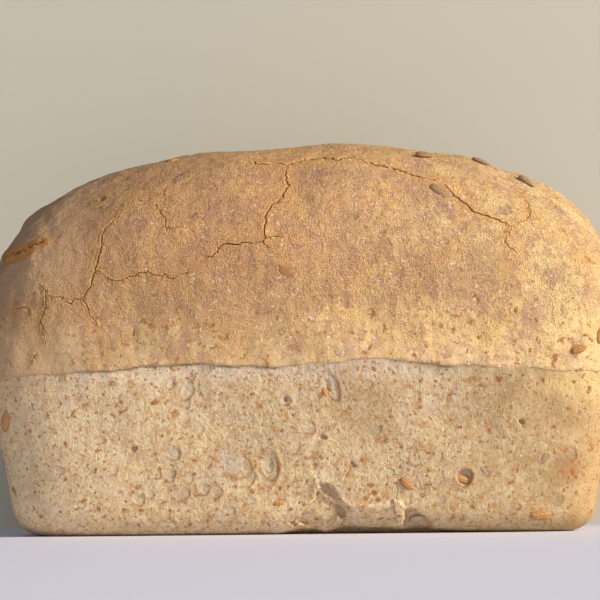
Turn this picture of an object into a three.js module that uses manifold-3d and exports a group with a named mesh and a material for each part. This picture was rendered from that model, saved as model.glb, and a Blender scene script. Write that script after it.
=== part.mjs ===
// A whole, uncut tin loaf with sunflower kernels: its lower half took the tapered shape of the
// tin, the dough rose over the rim and baked into a tall dome, and the crust cracked.
// Millimetres, +Z up. The origin is on the table under the middle of the loaf, X runs along it
// and its front is at -Y. The crumb, the crust with its cracks and the kernels are one solid.
import * as THREE from "three";
import { mergeVertices } from "three/addons/utils/BufferGeometryUtils.js";
import Module from "manifold-3d";

const wasm = await Module();
wasm.setup();

// ---- Driving dimensions ----
const RIM_Z = 62; // height of the tin's rim
const CROWN_Z = 149; // height of the dome
const BASE = { left: 108, right: 108.6, side: 52 }; // half sizes on the table
const RIM = { left: 119.3, right: 117.1, side: 62 }; // half sizes at the rim
const DOME = { left: 120.4, right: 120.4, side: 64.5 }; // half sizes where the dome is widest
const WIDE_Z = { end: 72, side: 88 }; // heights at which the ends and the sides are widest
const DOME_POWER = { left: 2.67, right: 2.85, side: 2.35 }; // 2 is an ellipse, more is squarer
const BASE_EDGE = 9; // rounding of the edge round the base
const CORNER_POWER = { tin: 7, crown: 2.4 }; // how square the loaf is in plan
const LIP = { end: 0.5, side: 1.5, fade: 9, drop: 0.7 }; // how the risen dough hangs over the rim
const FACET = 6.6; // size of the facets along the crust
const DOME_ROWS = 17; // rows of facets from the rim to the crown

// Along the loaf the crest and the rim line rise and dip: where, over what reach, by how much.
const CREST = [
  { x: -62, reach: 40, rise: -0.8 },
  { x: -36, reach: 16, rise: 1.6 },
  { x: 16, reach: 14, rise: 1.8 },
  { x: 54, reach: 14, rise: 0.7 },
  { x: 76, reach: 9, rise: -1.2 },
];
const RIM_LINE = [
  { x: -42, reach: 25, rise: 1.2 },
  { x: -17, reach: 13, rise: -1 },
  { x: 28, reach: 15, rise: 2.4 },
];
const RIM_SAG = 3; // how far the rim line falls towards the ends of the loaf
// Soft dents and, with a negative depth, swellings: middle, reach and depth.
const DENTS = [
  { at: [106, 0, 128], reach: 26, depth: -3 },
  { at: [115, 0, 116], reach: 14, depth: -1.8 },
  { at: [-106, 0, 124], reach: 13, depth: -3 },
  { at: [112, 0, 27], reach: 22, depth: 1.6 },
  { at: [92, -60, 44], reach: 13, depth: 2.6 },
  { at: [-60, 62, 38], reach: 24, depth: 1.6 },
  { at: [48, 62, 30], reach: 18, depth: 1.4 },
  { at: [119, 12, 40], reach: 20, depth: 1.8 },
  { at: [-70, 50, 112], reach: 18, depth: 1.5 },
];
// The gentle swell of the crust: waves with their direction, start and height.
const WAVES = [
  { along: [0.052, 0.031, 0.047], start: 0.4, height: 0.35 },
  { along: [-0.083, 0.069, 0.094], start: 2.1, height: 0.3 },
  { along: [0.141, -0.118, 0.102], start: 4.4, height: 0.25 },
];

// ---- Small helpers ----
const RADIANS = Math.PI / 180;
const clamp = (t) => Math.min(1, Math.max(0, t));
const smooth = (t) => clamp(t) ** 2 * (3 - 2 * clamp(t));
const mix = (a, b, t) => a + (b - a) * t;
const vec = (x, y, z) => new THREE.Vector3(x, y, z);
const humps = (list, x) =>
  list.reduce((sum, hump) => sum + hump.rise * Math.exp(-(((x - hump.x) / hump.reach) ** 2)), 0);

// A repeatable source of numbers between 0 and 1.
function randomFrom(seed) {
  let state = seed;
  return () => {
    state = (state * 1664525 + 1013904223) % 4294967296;
    return state / 4294967296;
  };
}

// A closed solid from rings of points, one after the other; a ring of one point is a tip.
// Each ring runs anticlockwise when looked at from the next ring.
function stack(rings) {
  const points = rings.flat();
  const faces = [];
  let start = 0;
  for (let r = 0; r < rings.length - 1; r += 1) {
    const n = rings[r].length;
    const m = rings[r + 1].length;
    const low = (i) => start + (i % n);
    const high = (j) => start + n + (j % m);
    let i = n === 1 ? n : 0;
    let j = m === 1 ? m : 0;
    while (i < n || j < m) {
      if (j >= m || (i < n && (i + 1) / n <= (j + 1) / m)) {
        faces.push(low(i), low(i + 1), high(j));
        i += 1;
      } else {
        faces.push(low(i), high(j + 1), high(j));
        j += 1;
      }
    }
    start += n;
  }
  const vertProperties = new Float32Array(points.flatMap((p) => [p.x, p.y, p.z]));
  const triVerts = new Uint32Array(faces);
  return new wasm.Manifold(new wasm.Mesh({ numProp: 3, vertProperties, triVerts }));
}

function solidFrom(geometry) {
  geometry.deleteAttribute("normal");
  geometry.deleteAttribute("uv");
  const merged = mergeVertices(geometry, 1e-4);
  const vertProperties = merged.getAttribute("position").array;
  const triVerts = new Uint32Array(merged.index.array);
  return new wasm.Manifold(new wasm.Mesh({ numProp: 3, vertProperties, triVerts }));
}

// ---- The form of the loaf ----
const crestZ = (x) => CROWN_Z + humps(CREST, x);

// Half the loaf's size at height z, below the rim and above it.
function tinHalf(z, base, rim) {
  const k = clamp((BASE_EDGE - z) / BASE_EDGE);
  return mix(base, rim, clamp(z / RIM_Z)) - BASE_EDGE * (1 - Math.sqrt(1 - k * k));
}
function domeHalf(z, top, [rim, dome, wideZ, power, lip]) {
  const swell = mix(rim, dome, Math.sin((Math.PI / 2) * clamp((z - RIM_Z) / (wideZ - RIM_Z))));
  const u = clamp((z - wideZ) / (top - wideZ));
  const overhang = lip * Math.exp(-Math.max(0, z - RIM_Z) / LIP.fade);
  return overhang + swell * Math.max(0, 1 - u ** power) ** (1 / power);
}

// The outline in plan at one height: half its length, half its width and how square it is.
function tinPlan(z, x) {
  const end = x < 0 ? "left" : "right";
  const a = tinHalf(z, BASE[end], RIM[end]);
  return { a, b: tinHalf(z, BASE.side, RIM.side), n: CORNER_POWER.tin };
}
function domePlan(z, x) {
  const end = x < 0 ? "left" : "right";
  const top = crestZ(x);
  const a = domeHalf(z, top, [RIM[end], DOME[end], WIDE_Z.end, DOME_POWER[end], LIP.end]);
  const b = domeHalf(z, top, [RIM.side, DOME.side, WIDE_Z.side, DOME_POWER.side, LIP.side]);
  const rise = smooth((1.15 * (z - RIM_Z)) / (CROWN_Z - RIM_Z));
  return { a, b, n: mix(CORNER_POWER.tin, CORNER_POWER.crown, rise) };
}
function insideLoaf(p) {
  if (p.z < 0 || p.z >= crestZ(p.x)) return false;
  const { a, b, n } = p.z < RIM_Z ? tinPlan(p.z, p.x) : domePlan(p.z, p.x);
  return Math.abs(p.x / a) ** n + Math.abs(p.y / b) ** n < 1;
}

// The rim line wanders up and down, and the crust swells and sinks.
function uneven(p) {
  const near = Math.exp(-(((p.z - RIM_Z) / 14) ** 2));
  const wander = humps(RIM_LINE, p.y < 0 ? p.x : -p.x) - RIM_SAG * (p.x / 100) ** 2;
  const out = vec(p.x / 3, p.y, 1.2 * Math.max(0, p.z - RIM_Z)).normalize();
  let push = 0;
  for (const wave of WAVES) push += wave.height * Math.sin(p.dot(vec(...wave.along)) + wave.start);
  for (const dent of DENTS) {
    push -= dent.depth * Math.exp(-((p.distanceTo(vec(...dent.at)) / dent.reach) ** 2));
  }
  return vec(0, 0, near * wander).add(p).addScaledVector(out, push * smooth(p.z / 12));
}

// One ring of evenly spaced points round the loaf. Its height may depend on x, through the crest.
function ring(heightAt, planAt) {
  const fine = 360;
  const points = [];
  const lengths = [0];
  for (let i = 0; i <= fine; i += 1) {
    const angle = (2 * Math.PI * i) / fine;
    const p = vec(0, 0, heightAt(0));
    for (let pass = 0; pass < 4; pass += 1) {
      const { a, b, n } = planAt(p.z, p.x || Math.cos(angle));
      const r = (Math.abs(Math.cos(angle) / a) ** n + Math.abs(Math.sin(angle) / b) ** n) ** (-1 / n);
      p.set(r * Math.cos(angle), r * Math.sin(angle), heightAt(r * Math.cos(angle)));
    }
    points.push(p);
    if (i > 0) lengths.push(lengths[i - 1] + p.distanceTo(points[i - 1]));
  }
  const count = Math.max(8, Math.round(lengths[fine] / FACET));
  const even = [];
  let k = 0;
  for (let i = 0; i < count; i += 1) {
    const along = (lengths[fine] * i) / count;
    while (lengths[k + 1] < along) k += 1;
    const t = (along - lengths[k]) / (lengths[k + 1] - lengths[k]);
    even.push(uneven(points[k].clone().lerp(points[k + 1], t)));
  }
  return even;
}

function makeBody() {
  const tinRows = [0, 1, 3.6, 9, 17, 25, 33, 41, 49, 56, RIM_Z];
  const rings = [[vec(0, 0, 0)]];
  for (const z of tinRows) rings.push(ring(() => z, tinPlan));
  const lip = ring(() => RIM_Z, domePlan);
  rings.push(lip.map((p) => p.setZ(p.z - LIP.drop)));
  for (let row = 1; row < DOME_ROWS; row += 1) {
    const w = Math.sin((Math.PI / 2) * (row / DOME_ROWS));
    rings.push(ring((x) => mix(RIM_Z, crestZ(x), w), domePlan));
  }
  rings.push([uneven(vec(0, 0, crestZ(0)))]);
  return stack(rings);
}

// ---- Places on the crust ----
// The front is measured in a reference view, a square 600 units wide: the eye is low, straight
// in front of the loaf, and the view is turned a little.
const VIEW = { centre: 300, away: 812, height: 18, focal: 2053, x: 304.4, y: 484.7, turn: 0.0105 };
const EYE = vec(0, -VIEW.away, VIEW.height);

function seen(u, v) {
  const du = u - VIEW.centre;
  const dv = v - VIEW.centre;
  const right = VIEW.centre + du * Math.cos(VIEW.turn) - dv * Math.sin(VIEW.turn) - VIEW.x;
  const down = VIEW.centre + du * Math.sin(VIEW.turn) + dv * Math.cos(VIEW.turn) - VIEW.y;
  const ray = vec(right / VIEW.focal, 1, -down / VIEW.focal);
  const step = 0.25;
  let far = VIEW.away - DOME.side - 4;
  while (far < VIEW.away && !insideLoaf(EYE.clone().addScaledVector(ray, far))) far += step;
  return EYE.clone().addScaledVector(ray, far);
}

// The place on the crust nearest to a point, seen from the heart of the loaf, with its normal.
function onCrust(p) {
  const heart = vec(p.x * 0.8, 0, mix(RIM_Z, p.z, 0.4));
  const out = p.clone().sub(heart).normalize();
  const cast = (target) => {
    const toward = target.clone().sub(heart).normalize();
    let low = 0;
    let high = 2 * DOME.left;
    for (let i = 0; i < 24; i += 1) {
      const middle = (low + high) / 2;
      if (insideLoaf(heart.clone().addScaledVector(toward, middle))) low = middle;
      else high = middle;
    }
    return uneven(heart.clone().addScaledVector(toward, low));
  };
  const a = out.clone().cross(Math.abs(out.x) > 0.8 ? vec(0, 1, 0) : vec(1, 0, 0)).normalize();
  const b = out.clone().cross(a);
  const span = 2;
  const slope = (axis) =>
    cast(p.clone().addScaledVector(axis, span)).sub(cast(p.clone().addScaledVector(axis, -span)));
  const normal = slope(a).cross(slope(b)).normalize();
  if (normal.dot(out) < 0) normal.negate();
  return { at: cast(p), normal };
}

// The frame of a thing lying on the crust, turned by degrees and sunk below the surface.
function layOn(place, turn, sink) {
  const along = Math.abs(place.normal.x) > 0.9 ? vec(0, 1, 0) : vec(1, 0, 0);
  along.addScaledVector(place.normal, -along.dot(place.normal)).normalize();
  along.applyAxisAngle(place.normal, turn * RADIANS);
  const across = place.normal.clone().cross(along);
  const middle = place.at.clone().addScaledVector(place.normal, -sink);
  return new THREE.Matrix4().makeBasis(along, across, place.normal).setPosition(middle);
}

// ---- What lies in the crust ----
// A sunflower kernel: blunt at one end, pointed at the other, and rather flat.
const KERNEL = { length: 9.4, width: 4.6, thick: 2.8, sides: 6 };
const KERNEL_SHAPE = [
  { x: -0.5, r: 0 },
  { x: -0.32, r: 0.84 },
  { x: 0.08, r: 1 },
  { x: 0.5, r: 0 },
];
function kernel(place, { turn, size, sink }) {
  const frame = layOn(place, turn, sink);
  const rings = KERNEL_SHAPE.map(({ x, r }) => {
    const count = r > 0 ? KERNEL.sides : 1;
    return Array.from({ length: count }, (_, i) => {
      const angle = (2 * Math.PI * i) / KERNEL.sides;
      const y = (Math.cos(angle) * r * KERNEL.width) / 2;
      const z = (Math.sin(angle) * r * KERNEL.thick) / 2;
      return vec(x * KERNEL.length, y, z).multiplyScalar(size).applyMatrix4(frame);
    });
  });
  return stack(rings);
}

// An ellipsoid: as a cutter it is a blister that burst and left a shallow bowl.
function lump(place, { turn, length, width, height }) {
  const ball = new THREE.IcosahedronGeometry(0.5, 1);
  ball.scale(length, width, height);
  return solidFrom(ball.applyMatrix4(layOn(place, turn, 0)));
}

// A crack: a wedge along points of the crust, ragged, widest in the middle, closed at its ends.
const CRACK_STEP = 6.5;
const CRACK_PROUD = 1.2; // how far the cutting wedge stands above the crust
function crack(points, width, depth, random) {
  const curve = new THREE.CatmullRomCurve3(points, false, "centripetal");
  const steps = Math.max(4, Math.round(curve.getLength() / CRACK_STEP));
  const rings = [[onCrust(points[0]).at]];
  for (let i = 1; i < steps; i += 1) {
    const t = i / steps;
    const { at, normal } = onCrust(curve.getPointAt(t));
    const across = curve.getTangentAt(t).cross(normal).normalize();
    const open = 0.35 + 0.65 * Math.sin(Math.PI * t);
    const shift = (random() - 0.5) * width;
    const half = width * open * mix(0.7, 1.2, random());
    rings.push([
      at.clone().addScaledVector(normal, CRACK_PROUD).addScaledVector(across, shift - half),
      at.clone().addScaledVector(normal, CRACK_PROUD).addScaledVector(across, shift + half),
      at.clone().addScaledVector(normal, -depth * open).addScaledVector(across, shift),
    ]);
  }
  rings.push([onCrust(points[points.length - 1]).at]);
  return stack(rings);
}

// ---- Features of the front, in the reference view ----
// Kernels: where, how they are turned, their size, and how deep they sit.
const FRONT_KERNELS = {
  crest: { u: 427, v: 158, turn: 5, size: 0.8, sink: 0 },
  ridge: { u: 480, v: 161, turn: 0, size: 1, sink: 0 },
  shoulder: { u: 527, v: 181, turn: 0, size: 0.95, sink: 0 },
  leftCrest: { u: 173, v: 161, turn: 4, size: 1, sink: 0.3 },
  leftShoulder: { u: 72, v: 195, turn: 8, size: 0.8, sink: 0 },
  leftCorner: { u: 24, v: 233, turn: 30, size: 0.7, sink: 0.2 },
  long: { u: 441, v: 191, turn: -38, size: 1.15, sink: 0.8 },
  dimple: { u: 106, v: 206, turn: 15, size: 0.6, sink: 0.5 },
  slit: { u: 406, v: 484, turn: -38, size: 0.95, sink: 0.3 },
  pocket: { u: 464, v: 480, turn: -25, size: 0.8, sink: 0.8 },
  amber: { u: 542, v: 515, turn: 0, size: 1, sink: 0.7 },
  greyLow: { u: 484, v: 470, turn: -60, size: 0.75, sink: 0.8 },
  greyRight: { u: 545, v: 457, turn: 62, size: 0.7, sink: 0.8 },
  endLeft: { u: 6, v: 419, turn: 80, size: 1.1, sink: 0 },
  endRight: { u: 596, v: 332, turn: 80, size: 0.9, sink: 0.1 },
  right: { u: 578, v: 343, turn: 20, size: 0.75, sink: 0.2 },
  split: { u: 352, v: 471, turn: 30, size: 0.8, sink: 0.5 },
  chip: { u: 279, v: 503, turn: 10, size: 0.6, sink: 0.3 },
  rimSlit: { u: 332, v: 385, turn: -65, size: 0.95, sink: 0.7 },
  greyLeft: { u: 138, v: 500, turn: -60, size: 0.75, sink: 0.8 },
  leftAmber: { u: 74, v: 412, turn: 60, size: 0.6, sink: 0.5 },
  middleAmber: { u: 156, v: 402, turn: 20, size: 0.5, sink: 0.4 },
  bubble: { u: 250, v: 479, turn: 40, size: 0.7, sink: 0.8 },
};
// Burst blisters: where, how they are turned, and their size. Height is twice the depth.
const FRONT_BOWLS = {
  swirl: { u: 268, v: 466, turn: 70, length: 10.5, width: 7, height: 2.4 },
  pale: { u: 230, v: 459, turn: -40, length: 14, width: 9, height: 1.6 },
  crater: { u: 503, v: 211, turn: 0, length: 7, width: 5, height: 1.8 },
  buried: { u: 340, v: 296, turn: -70, length: 8, width: 5, height: 2 },
  right: { u: 573, v: 462, turn: 80, length: 10, width: 7, height: 2.4 },
  pocket: { u: 463, v: 474, turn: 0, length: 7, width: 7, height: 4 },
  upperLeft: { u: 188, v: 397, turn: -60, length: 8, width: 5, height: 2 },
  left: { u: 173, v: 455, turn: 0, length: 7, width: 5, height: 1.8 },
  cluster: { u: 167, v: 474, turn: 30, length: 6, width: 5, height: 1.8 },
  lowLeft: { u: 186, v: 505, turn: 20, length: 7, width: 5, height: 1.6 },
  small: { u: 135, v: 446, turn: 60, length: 5, width: 4, height: 2.4 },
  lowRight: { u: 514, v: 506, turn: 10, length: 5.5, width: 4.5, height: 1.6 },
  slitHole: { u: 102, v: 200, turn: 8, length: 5, width: 2, height: 3.2 },
};
// Cracks: width, depth and the corners at which each one turns.
const FRONT_CRACKS = {
  crest: {
    width: 1.1,
    depth: 3,
    path: [[253, 163], [288, 164], [322, 159], [338, 162], [357, 161], [400, 171], [433, 181]],
  },
  shoulder: { width: 1, depth: 2.4, path: [[445, 185], [456, 198], [470, 211], [497, 221], [513, 228]] },
  middle: {
    width: 0.9,
    depth: 2.2,
    path: [[287, 166], [285, 175], [287, 187], [271, 204], [265, 222], [266, 249]],
  },
  middleFoot: { width: 0.8, depth: 1.8, path: [[264, 243], [238, 246], [220, 252], [204, 258]] },
  panelTop: { width: 0.8, depth: 2, path: [[176, 175], [165, 187], [161, 199], [126, 207]] },
  panelSide: { width: 0.9, depth: 2.2, path: [[124, 209], [102, 234], [96, 267], [84, 293], [98, 324]] },
  panelFoot: { width: 0.8, depth: 1.8, path: [[94, 271], [110, 279], [137, 274], [167, 275], [187, 272]] },
  panelInner: { width: 0.7, depth: 1.6, path: [[154, 202], [165, 220], [168, 229], [182, 225]] },
  left: { width: 0.8, depth: 1.8, path: [[43, 287], [46, 303], [41, 318], [45, 335]] },
  rightFork: { width: 0.7, depth: 1.6, path: [[523, 194], [530, 215], [516, 226]] },
  rightFoot: { width: 0.7, depth: 1.6, path: [[512, 230], [504, 243], [515, 254]] },
  rightEnd: { width: 0.7, depth: 1.6, path: [[544, 194], [565, 207]] },
  tear: { width: 2.4, depth: 4, path: [[48, 243], [27, 251], [6, 260]] },
  foldLeft: { width: 1.1, depth: 2.4, path: [[314, 446], [318, 462], [321, 484]] },
  foldRight: { width: 1.3, depth: 3, path: [[385, 464], [397, 476], [398, 490], [395, 510]] },
};

// ---- The fold at the foot of the front ----
// Two sheets of dough met there and never joined. The foot is lifted off the table, and between
// the sheets the edge is set back with a small lump of dough in it.
const FOLD = {
  lifted: {
    depth: 26,
    outline: [[284, 545], [291, 525], [300, 519], [322, 521], [338, 514], [360, 518], [394, 519],
      [410, 514], [428, 521], [452, 527], [458, 545]],
  },
  setBack: {
    depth: 5,
    outline: [[321, 481], [334, 489], [346, 504], [375, 508], [396, 507], [400, 545], [298, 545],
      [309, 511], [317, 499]],
  },
  lump: { u: 320, v: 505, turn: 70, length: 13, width: 9, height: 8 },
};

// A straight cutter with an outline given in the reference view, going a depth into the front.
const CUT_BEFORE = 20; // how far a cutter stands out before the front
function frontCut({ depth, outline }) {
  const scale = (VIEW.away - BASE.side) / VIEW.focal;
  const corners = outline.map(([u, v]) => [(u - VIEW.x) * scale, VIEW.height - (v - VIEW.y) * scale]);
  const shape = new THREE.Shape(corners.map(([x, z]) => new THREE.Vector2(x, z)));
  const body = new THREE.ExtrudeGeometry(shape, { depth: depth + CUT_BEFORE, bevelEnabled: false });
  body.rotateX(Math.PI / 2).translate(0, depth - BASE.side, 0);
  return solidFrom(body);
}

// ---- The rest of the crust, finished like the front ----
// The back repeats the front's cracks and blisters half a turn round and a little to one side.
const BACK_SHIFT = { x: 11, z: -3 };
const BACK_CRACKS = ["middle", "middleFoot", "panelTop", "panelSide", "panelFoot", "shoulder"];
const BACK_BOWLS = ["swirl", "pale", "right", "upperLeft", "left", "cluster", "lowRight"];
const toBack = (p) => vec(-p.x + BACK_SHIFT.x, -p.y, p.z + BACK_SHIFT.z);
// Cracks over the top and on the ends, in millimetres.
const OTHER_CRACKS = {
  top: {
    width: 0.9,
    depth: 2.6,
    path: [[-72, 16, 140], [-58, 8, 144], [-45, 13, 146], [-36, 3, 148], [-14, 8, 148], [8, -2, 149]],
  },
  topRight: { width: 0.8, depth: 2.2, path: [[44, 16, 147], [52, 6, 148], [66, 9, 146], [74, -3, 145]] },
  endLeft: { width: 0.8, depth: 2, path: [[-110, 16, 113], [-116, 8, 104], [-117, 14, 95], [-120, 5, 84]] },
  endRight: { width: 0.8, depth: 2, path: [[104, -16, 119], [111, -4, 112], [116, -7, 100], [119, 6, 92]] },
};
const SCATTER = { seed: 7, count: 44, apart: 17, lowest: 12, tries: 4000 };

// Kernels spread over what the front view doesn't show, largest first, well apart.
function scatteredKernels(random, taken) {
  const made = [];
  for (let i = 0; i < SCATTER.tries && made.length < SCATTER.count; i += 1) {
    const angle = 2 * Math.PI * random();
    const z = mix(SCATTER.lowest, CROWN_Z, random());
    const reach = z < RIM_Z ? 1 : random();
    const p = vec(Math.cos(angle) * DOME.left * reach, Math.sin(angle) * DOME.side * reach, z);
    const place = onCrust(p);
    const hidden = place.normal.y > -0.25 || place.normal.z > 0.93;
    const clear = taken.every((other) => other.distanceTo(place.at) > SCATTER.apart);
    if (hidden && clear && place.at.z > SCATTER.lowest) {
      taken.push(place.at);
      const size = mix(1.1, 0.65, made.length / SCATTER.count);
      made.push(kernel(place, { turn: 360 * random(), size, sink: mix(0, 0.8, random()) }));
    }
  }
  return made;
}

// ---- Putting it together ----
function makeLoaf() {
  const random = randomFrom(SCATTER.seed);
  let loaf = makeBody();
  loaf = loaf.subtract(frontCut(FOLD.setBack)).subtract(frontCut(FOLD.lifted));
  loaf = loaf.add(lump(onCrust(seen(FOLD.lump.u, FOLD.lump.v)), FOLD.lump));

  for (const [name, bowl] of Object.entries(FRONT_BOWLS)) {
    const p = seen(bowl.u, bowl.v);
    loaf = loaf.subtract(lump(onCrust(p), bowl));
    if (BACK_BOWLS.includes(name)) loaf = loaf.subtract(lump(onCrust(toBack(p)), bowl));
  }
  for (const [name, { width, depth, path }] of Object.entries(FRONT_CRACKS)) {
    const points = path.map(([u, v]) => seen(u, v));
    loaf = loaf.subtract(crack(points, width, depth, random));
    if (BACK_CRACKS.includes(name)) {
      loaf = loaf.subtract(crack(points.map(toBack), width, depth, random));
    }
  }
  for (const { width, depth, path } of Object.values(OTHER_CRACKS)) {
    loaf = loaf.subtract(crack(path.map((p) => vec(...p)), width, depth, random));
  }

  const taken = [];
  for (const spot of Object.values(FRONT_KERNELS)) {
    const place = onCrust(seen(spot.u, spot.v));
    taken.push(place.at);
    loaf = loaf.add(kernel(place, spot));
  }
  for (const one of scatteredKernels(random, taken)) loaf = loaf.add(one);
  return loaf;
}

function toMesh(solid, name, material) {
  const mesh = solid.getMesh();
  const geometry = new THREE.BufferGeometry();
  geometry.setAttribute("position", new THREE.BufferAttribute(mesh.vertProperties, mesh.numProp));
  geometry.setIndex(new THREE.BufferAttribute(mesh.triVerts, 1));
  geometry.computeVertexNormals();
  const object = new THREE.Mesh(geometry, material);
  object.name = name;
  return object;
}

const crust = new THREE.MeshStandardMaterial({ color: 0xc89e6c, roughness: 0.85, metalness: 0 });
const model = new THREE.Group();
model.name = "sunflower_seed_tin_loaf";
model.add(toMesh(makeLoaf(), "loaf", crust));

export default model;
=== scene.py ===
# %% [markdown]
# A whole, uncut tin loaf with sunflower kernels, on a pale table in front of a pale wall.
# The loaf is bread that was baked in a tapered tin: below the rim line its skin is smooth, cream
# and full of bran, because it lay against metal, and above the line the dough rose free into a
# tall dome whose crust dried, browned and cracked.
# The form is worked out here in millimetres from a few named sizes, the same ones as the solid
# has, and written to meshes in metres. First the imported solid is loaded, as the frame.

import math

import bpy
import numpy as np
from mathutils import Matrix, Vector
from mathutils.kdtree import KDTree


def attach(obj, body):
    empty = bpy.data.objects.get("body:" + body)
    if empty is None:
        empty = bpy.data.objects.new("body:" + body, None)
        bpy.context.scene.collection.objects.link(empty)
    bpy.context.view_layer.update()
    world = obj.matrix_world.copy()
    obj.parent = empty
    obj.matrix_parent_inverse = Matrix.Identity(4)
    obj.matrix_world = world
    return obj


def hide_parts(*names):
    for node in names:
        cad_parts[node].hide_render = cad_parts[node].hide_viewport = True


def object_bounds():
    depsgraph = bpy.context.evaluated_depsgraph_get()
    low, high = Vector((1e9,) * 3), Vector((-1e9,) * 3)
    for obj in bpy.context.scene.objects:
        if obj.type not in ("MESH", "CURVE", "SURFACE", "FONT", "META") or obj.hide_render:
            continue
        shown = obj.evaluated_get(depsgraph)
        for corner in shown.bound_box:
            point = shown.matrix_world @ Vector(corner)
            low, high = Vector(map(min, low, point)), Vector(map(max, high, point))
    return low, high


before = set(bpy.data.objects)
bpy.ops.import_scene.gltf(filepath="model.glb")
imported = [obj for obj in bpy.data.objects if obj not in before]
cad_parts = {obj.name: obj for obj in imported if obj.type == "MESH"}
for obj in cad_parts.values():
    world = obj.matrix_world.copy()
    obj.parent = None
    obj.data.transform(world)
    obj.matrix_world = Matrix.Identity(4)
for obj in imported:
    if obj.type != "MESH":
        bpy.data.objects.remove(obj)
cad_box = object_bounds()
MM = 0.001
print("the solid reaches from", cad_box[0], "to", cad_box[1])


# %% [markdown]
# The eye is low, straight in front of the long side, and far away: the lens is long, so the loaf
# shows hardly any perspective. It looks up a little, and the frame is turned by half a degree.
# A place on the loaf can then be named by where it is seen in a square frame 600 units wide.

# %% The camera
FRAME_SIZE = 600
SENSOR = 36.0
EYE = np.array([-1.15, -812.0, 18.0])
FOCAL = 2070.0
PITCH = math.radians(5.11)
ROLL = math.radians(0.6)
# millimetres for one unit of that frame, at the front of the loaf
FRONT_SCALE = 0.3655

camera = bpy.data.objects.new("camera", bpy.data.cameras.new("camera"))
camera.data.sensor_width = SENSOR
camera.data.lens = FOCAL / FRAME_SIZE * SENSOR
camera.data.clip_start = 0.05
camera.data.clip_end = 20.0
turned = Matrix.Rotation(math.pi / 2 + PITCH, 4, "X") @ Matrix.Rotation(-ROLL, 4, "Z")
camera.matrix_world = Matrix.Translation(EYE * MM) @ turned
bpy.context.scene.collection.objects.link(camera)
bpy.context.scene.camera = camera
VIEW_AXES = np.array(turned.to_3x3())


def to_frame(points):
    """Where points in millimetres are seen: across and down in the square frame."""
    local = (points - EYE) @ VIEW_AXES
    across = FRAME_SIZE / 2 + FOCAL * local[:, 0] / -local[:, 2]
    down = FRAME_SIZE / 2 - FOCAL * local[:, 1] / -local[:, 2]
    return np.stack([across, down], axis=1)


print("lens", round(camera.data.lens, 1), "mm")


# %% [markdown]
# The form follows a rule, as a real tin loaf does. At each height the outline in plan is a
# rounded rectangle: nearly square inside the tin, and rounder towards the crown. Its half length
# and half width grow in a straight line up the tin, swell a little above the rim, and close over
# the top in a curve that is squarer than an ellipse. All of it is a handful of numbers.

# %% Sizes of the loaf
RIM_Z = 62.0
CROWN_Z = 149.0
# half lengths to the left and the right end, and half widths, at the bottom, the rim and the dome
BASE = {"left": 108.0, "right": 108.6, "side": 52.0}
RIM = {"left": 119.3, "right": 117.1, "side": 62.0}
DOME = {"left": 120.4, "right": 120.4, "side": 64.5}
WIDE_Z = {"end": 72.0, "side": 88.0}
# how square the curve over the top is, and how square the corners are in plan
DOME_POWER = {"left": 2.67, "right": 2.85, "side": 2.35}
CORNER_POWER = {"tin": 7.0, "crown": 2.4}
# the rounding of the bottom edge, and how far the dome hangs over the rim
BASE_EDGE = 9.0
LIP = {"end": 0.5, "side": 1.1, "fade": 9.0, "drop": 0.6}
# soft humps along the crest and along the rim line: where along the loaf, reach and rise
CREST = [(-62, 40, -0.8), (-36, 16, 1.6), (16, 14, 1.8), (54, 14, 0.7), (76, 9, -1.2)]
RIM_LINE = [(-42, 25, 1.2), (-17, 13, -1.0), (28, 15, 2.4)]
RIM_SAG = 3.0
DENTS = [
    # the middle of a soft dent, its reach and its depth; a swelling has a depth below zero
    ((106, 0, 128), 26, -3.0),
    ((115, 0, 116), 14, -1.8),
    ((-106, 0, 124), 13, -3.0),
    ((112, 0, 27), 22, 1.6),
    ((92, -60, 44), 13, 2.6),
    ((-60, 62, 38), 24, 1.6),
    ((48, 62, 30), 18, 1.4),
    ((119, 12, 40), 20, 1.8),
    ((-70, 50, 112), 18, 1.5),
    ((68, -6, 141), 15, -1.5),
    ((-102, 0, 112), 9, -1.8),
    ((112, 0, 104), 11, -1.6),
    ((32, -6, 148), 10, -0.9),
]
WAVES = [
    # slow waves all over: how fast each turns along x, y and z, where it starts and its height
    ((0.052, 0.031, 0.047), 0.4, 0.35),
    ((-0.083, 0.069, 0.094), 2.1, 0.3),
    ((0.141, -0.118, 0.102), 4.4, 0.25),
]


print("the loaf is about", 2 * DOME["side"], "mm deep, and its rim line is at", RIM_Z, "mm")


# %% The rule of the form
def unit(vectors):
    return vectors / np.maximum(np.linalg.norm(vectors, axis=-1, keepdims=True), 1e-12)


def smooth(t):
    t = np.clip(t, 0, 1)
    return t * t * (3 - 2 * t)


def humps(rows, x):
    """The sum of soft humps along the loaf, each a middle, a reach and a rise."""
    return sum(rise * np.exp(-(((x - middle) / reach) ** 2)) for middle, reach, rise in rows)


def crest_z(x):
    return CROWN_Z + humps(CREST, x)


def by_end(sizes, x):
    return np.where(x < 0, sizes["left"], sizes["right"])


def tin_half(z, base, rim):
    k = np.clip((BASE_EDGE - z) / BASE_EDGE, 0, 1)
    rounding = BASE_EDGE * (1 - np.sqrt(1 - k * k))
    return base + (rim - base) * np.clip(z / RIM_Z, 0, 1) - rounding


def dome_half(z, top, rim, dome, wide, power, lip):
    swell = rim + (dome - rim) * np.sin(math.pi / 2 * np.clip((z - RIM_Z) / (wide - RIM_Z), 0, 1))
    u = np.clip((z - wide) / (top - wide), 0, 1)
    overhang = lip * np.exp(-np.maximum(0, z - RIM_Z) / LIP["fade"])
    return overhang + swell * np.maximum(1e-9, 1 - u**power) ** (1 / power)


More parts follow.
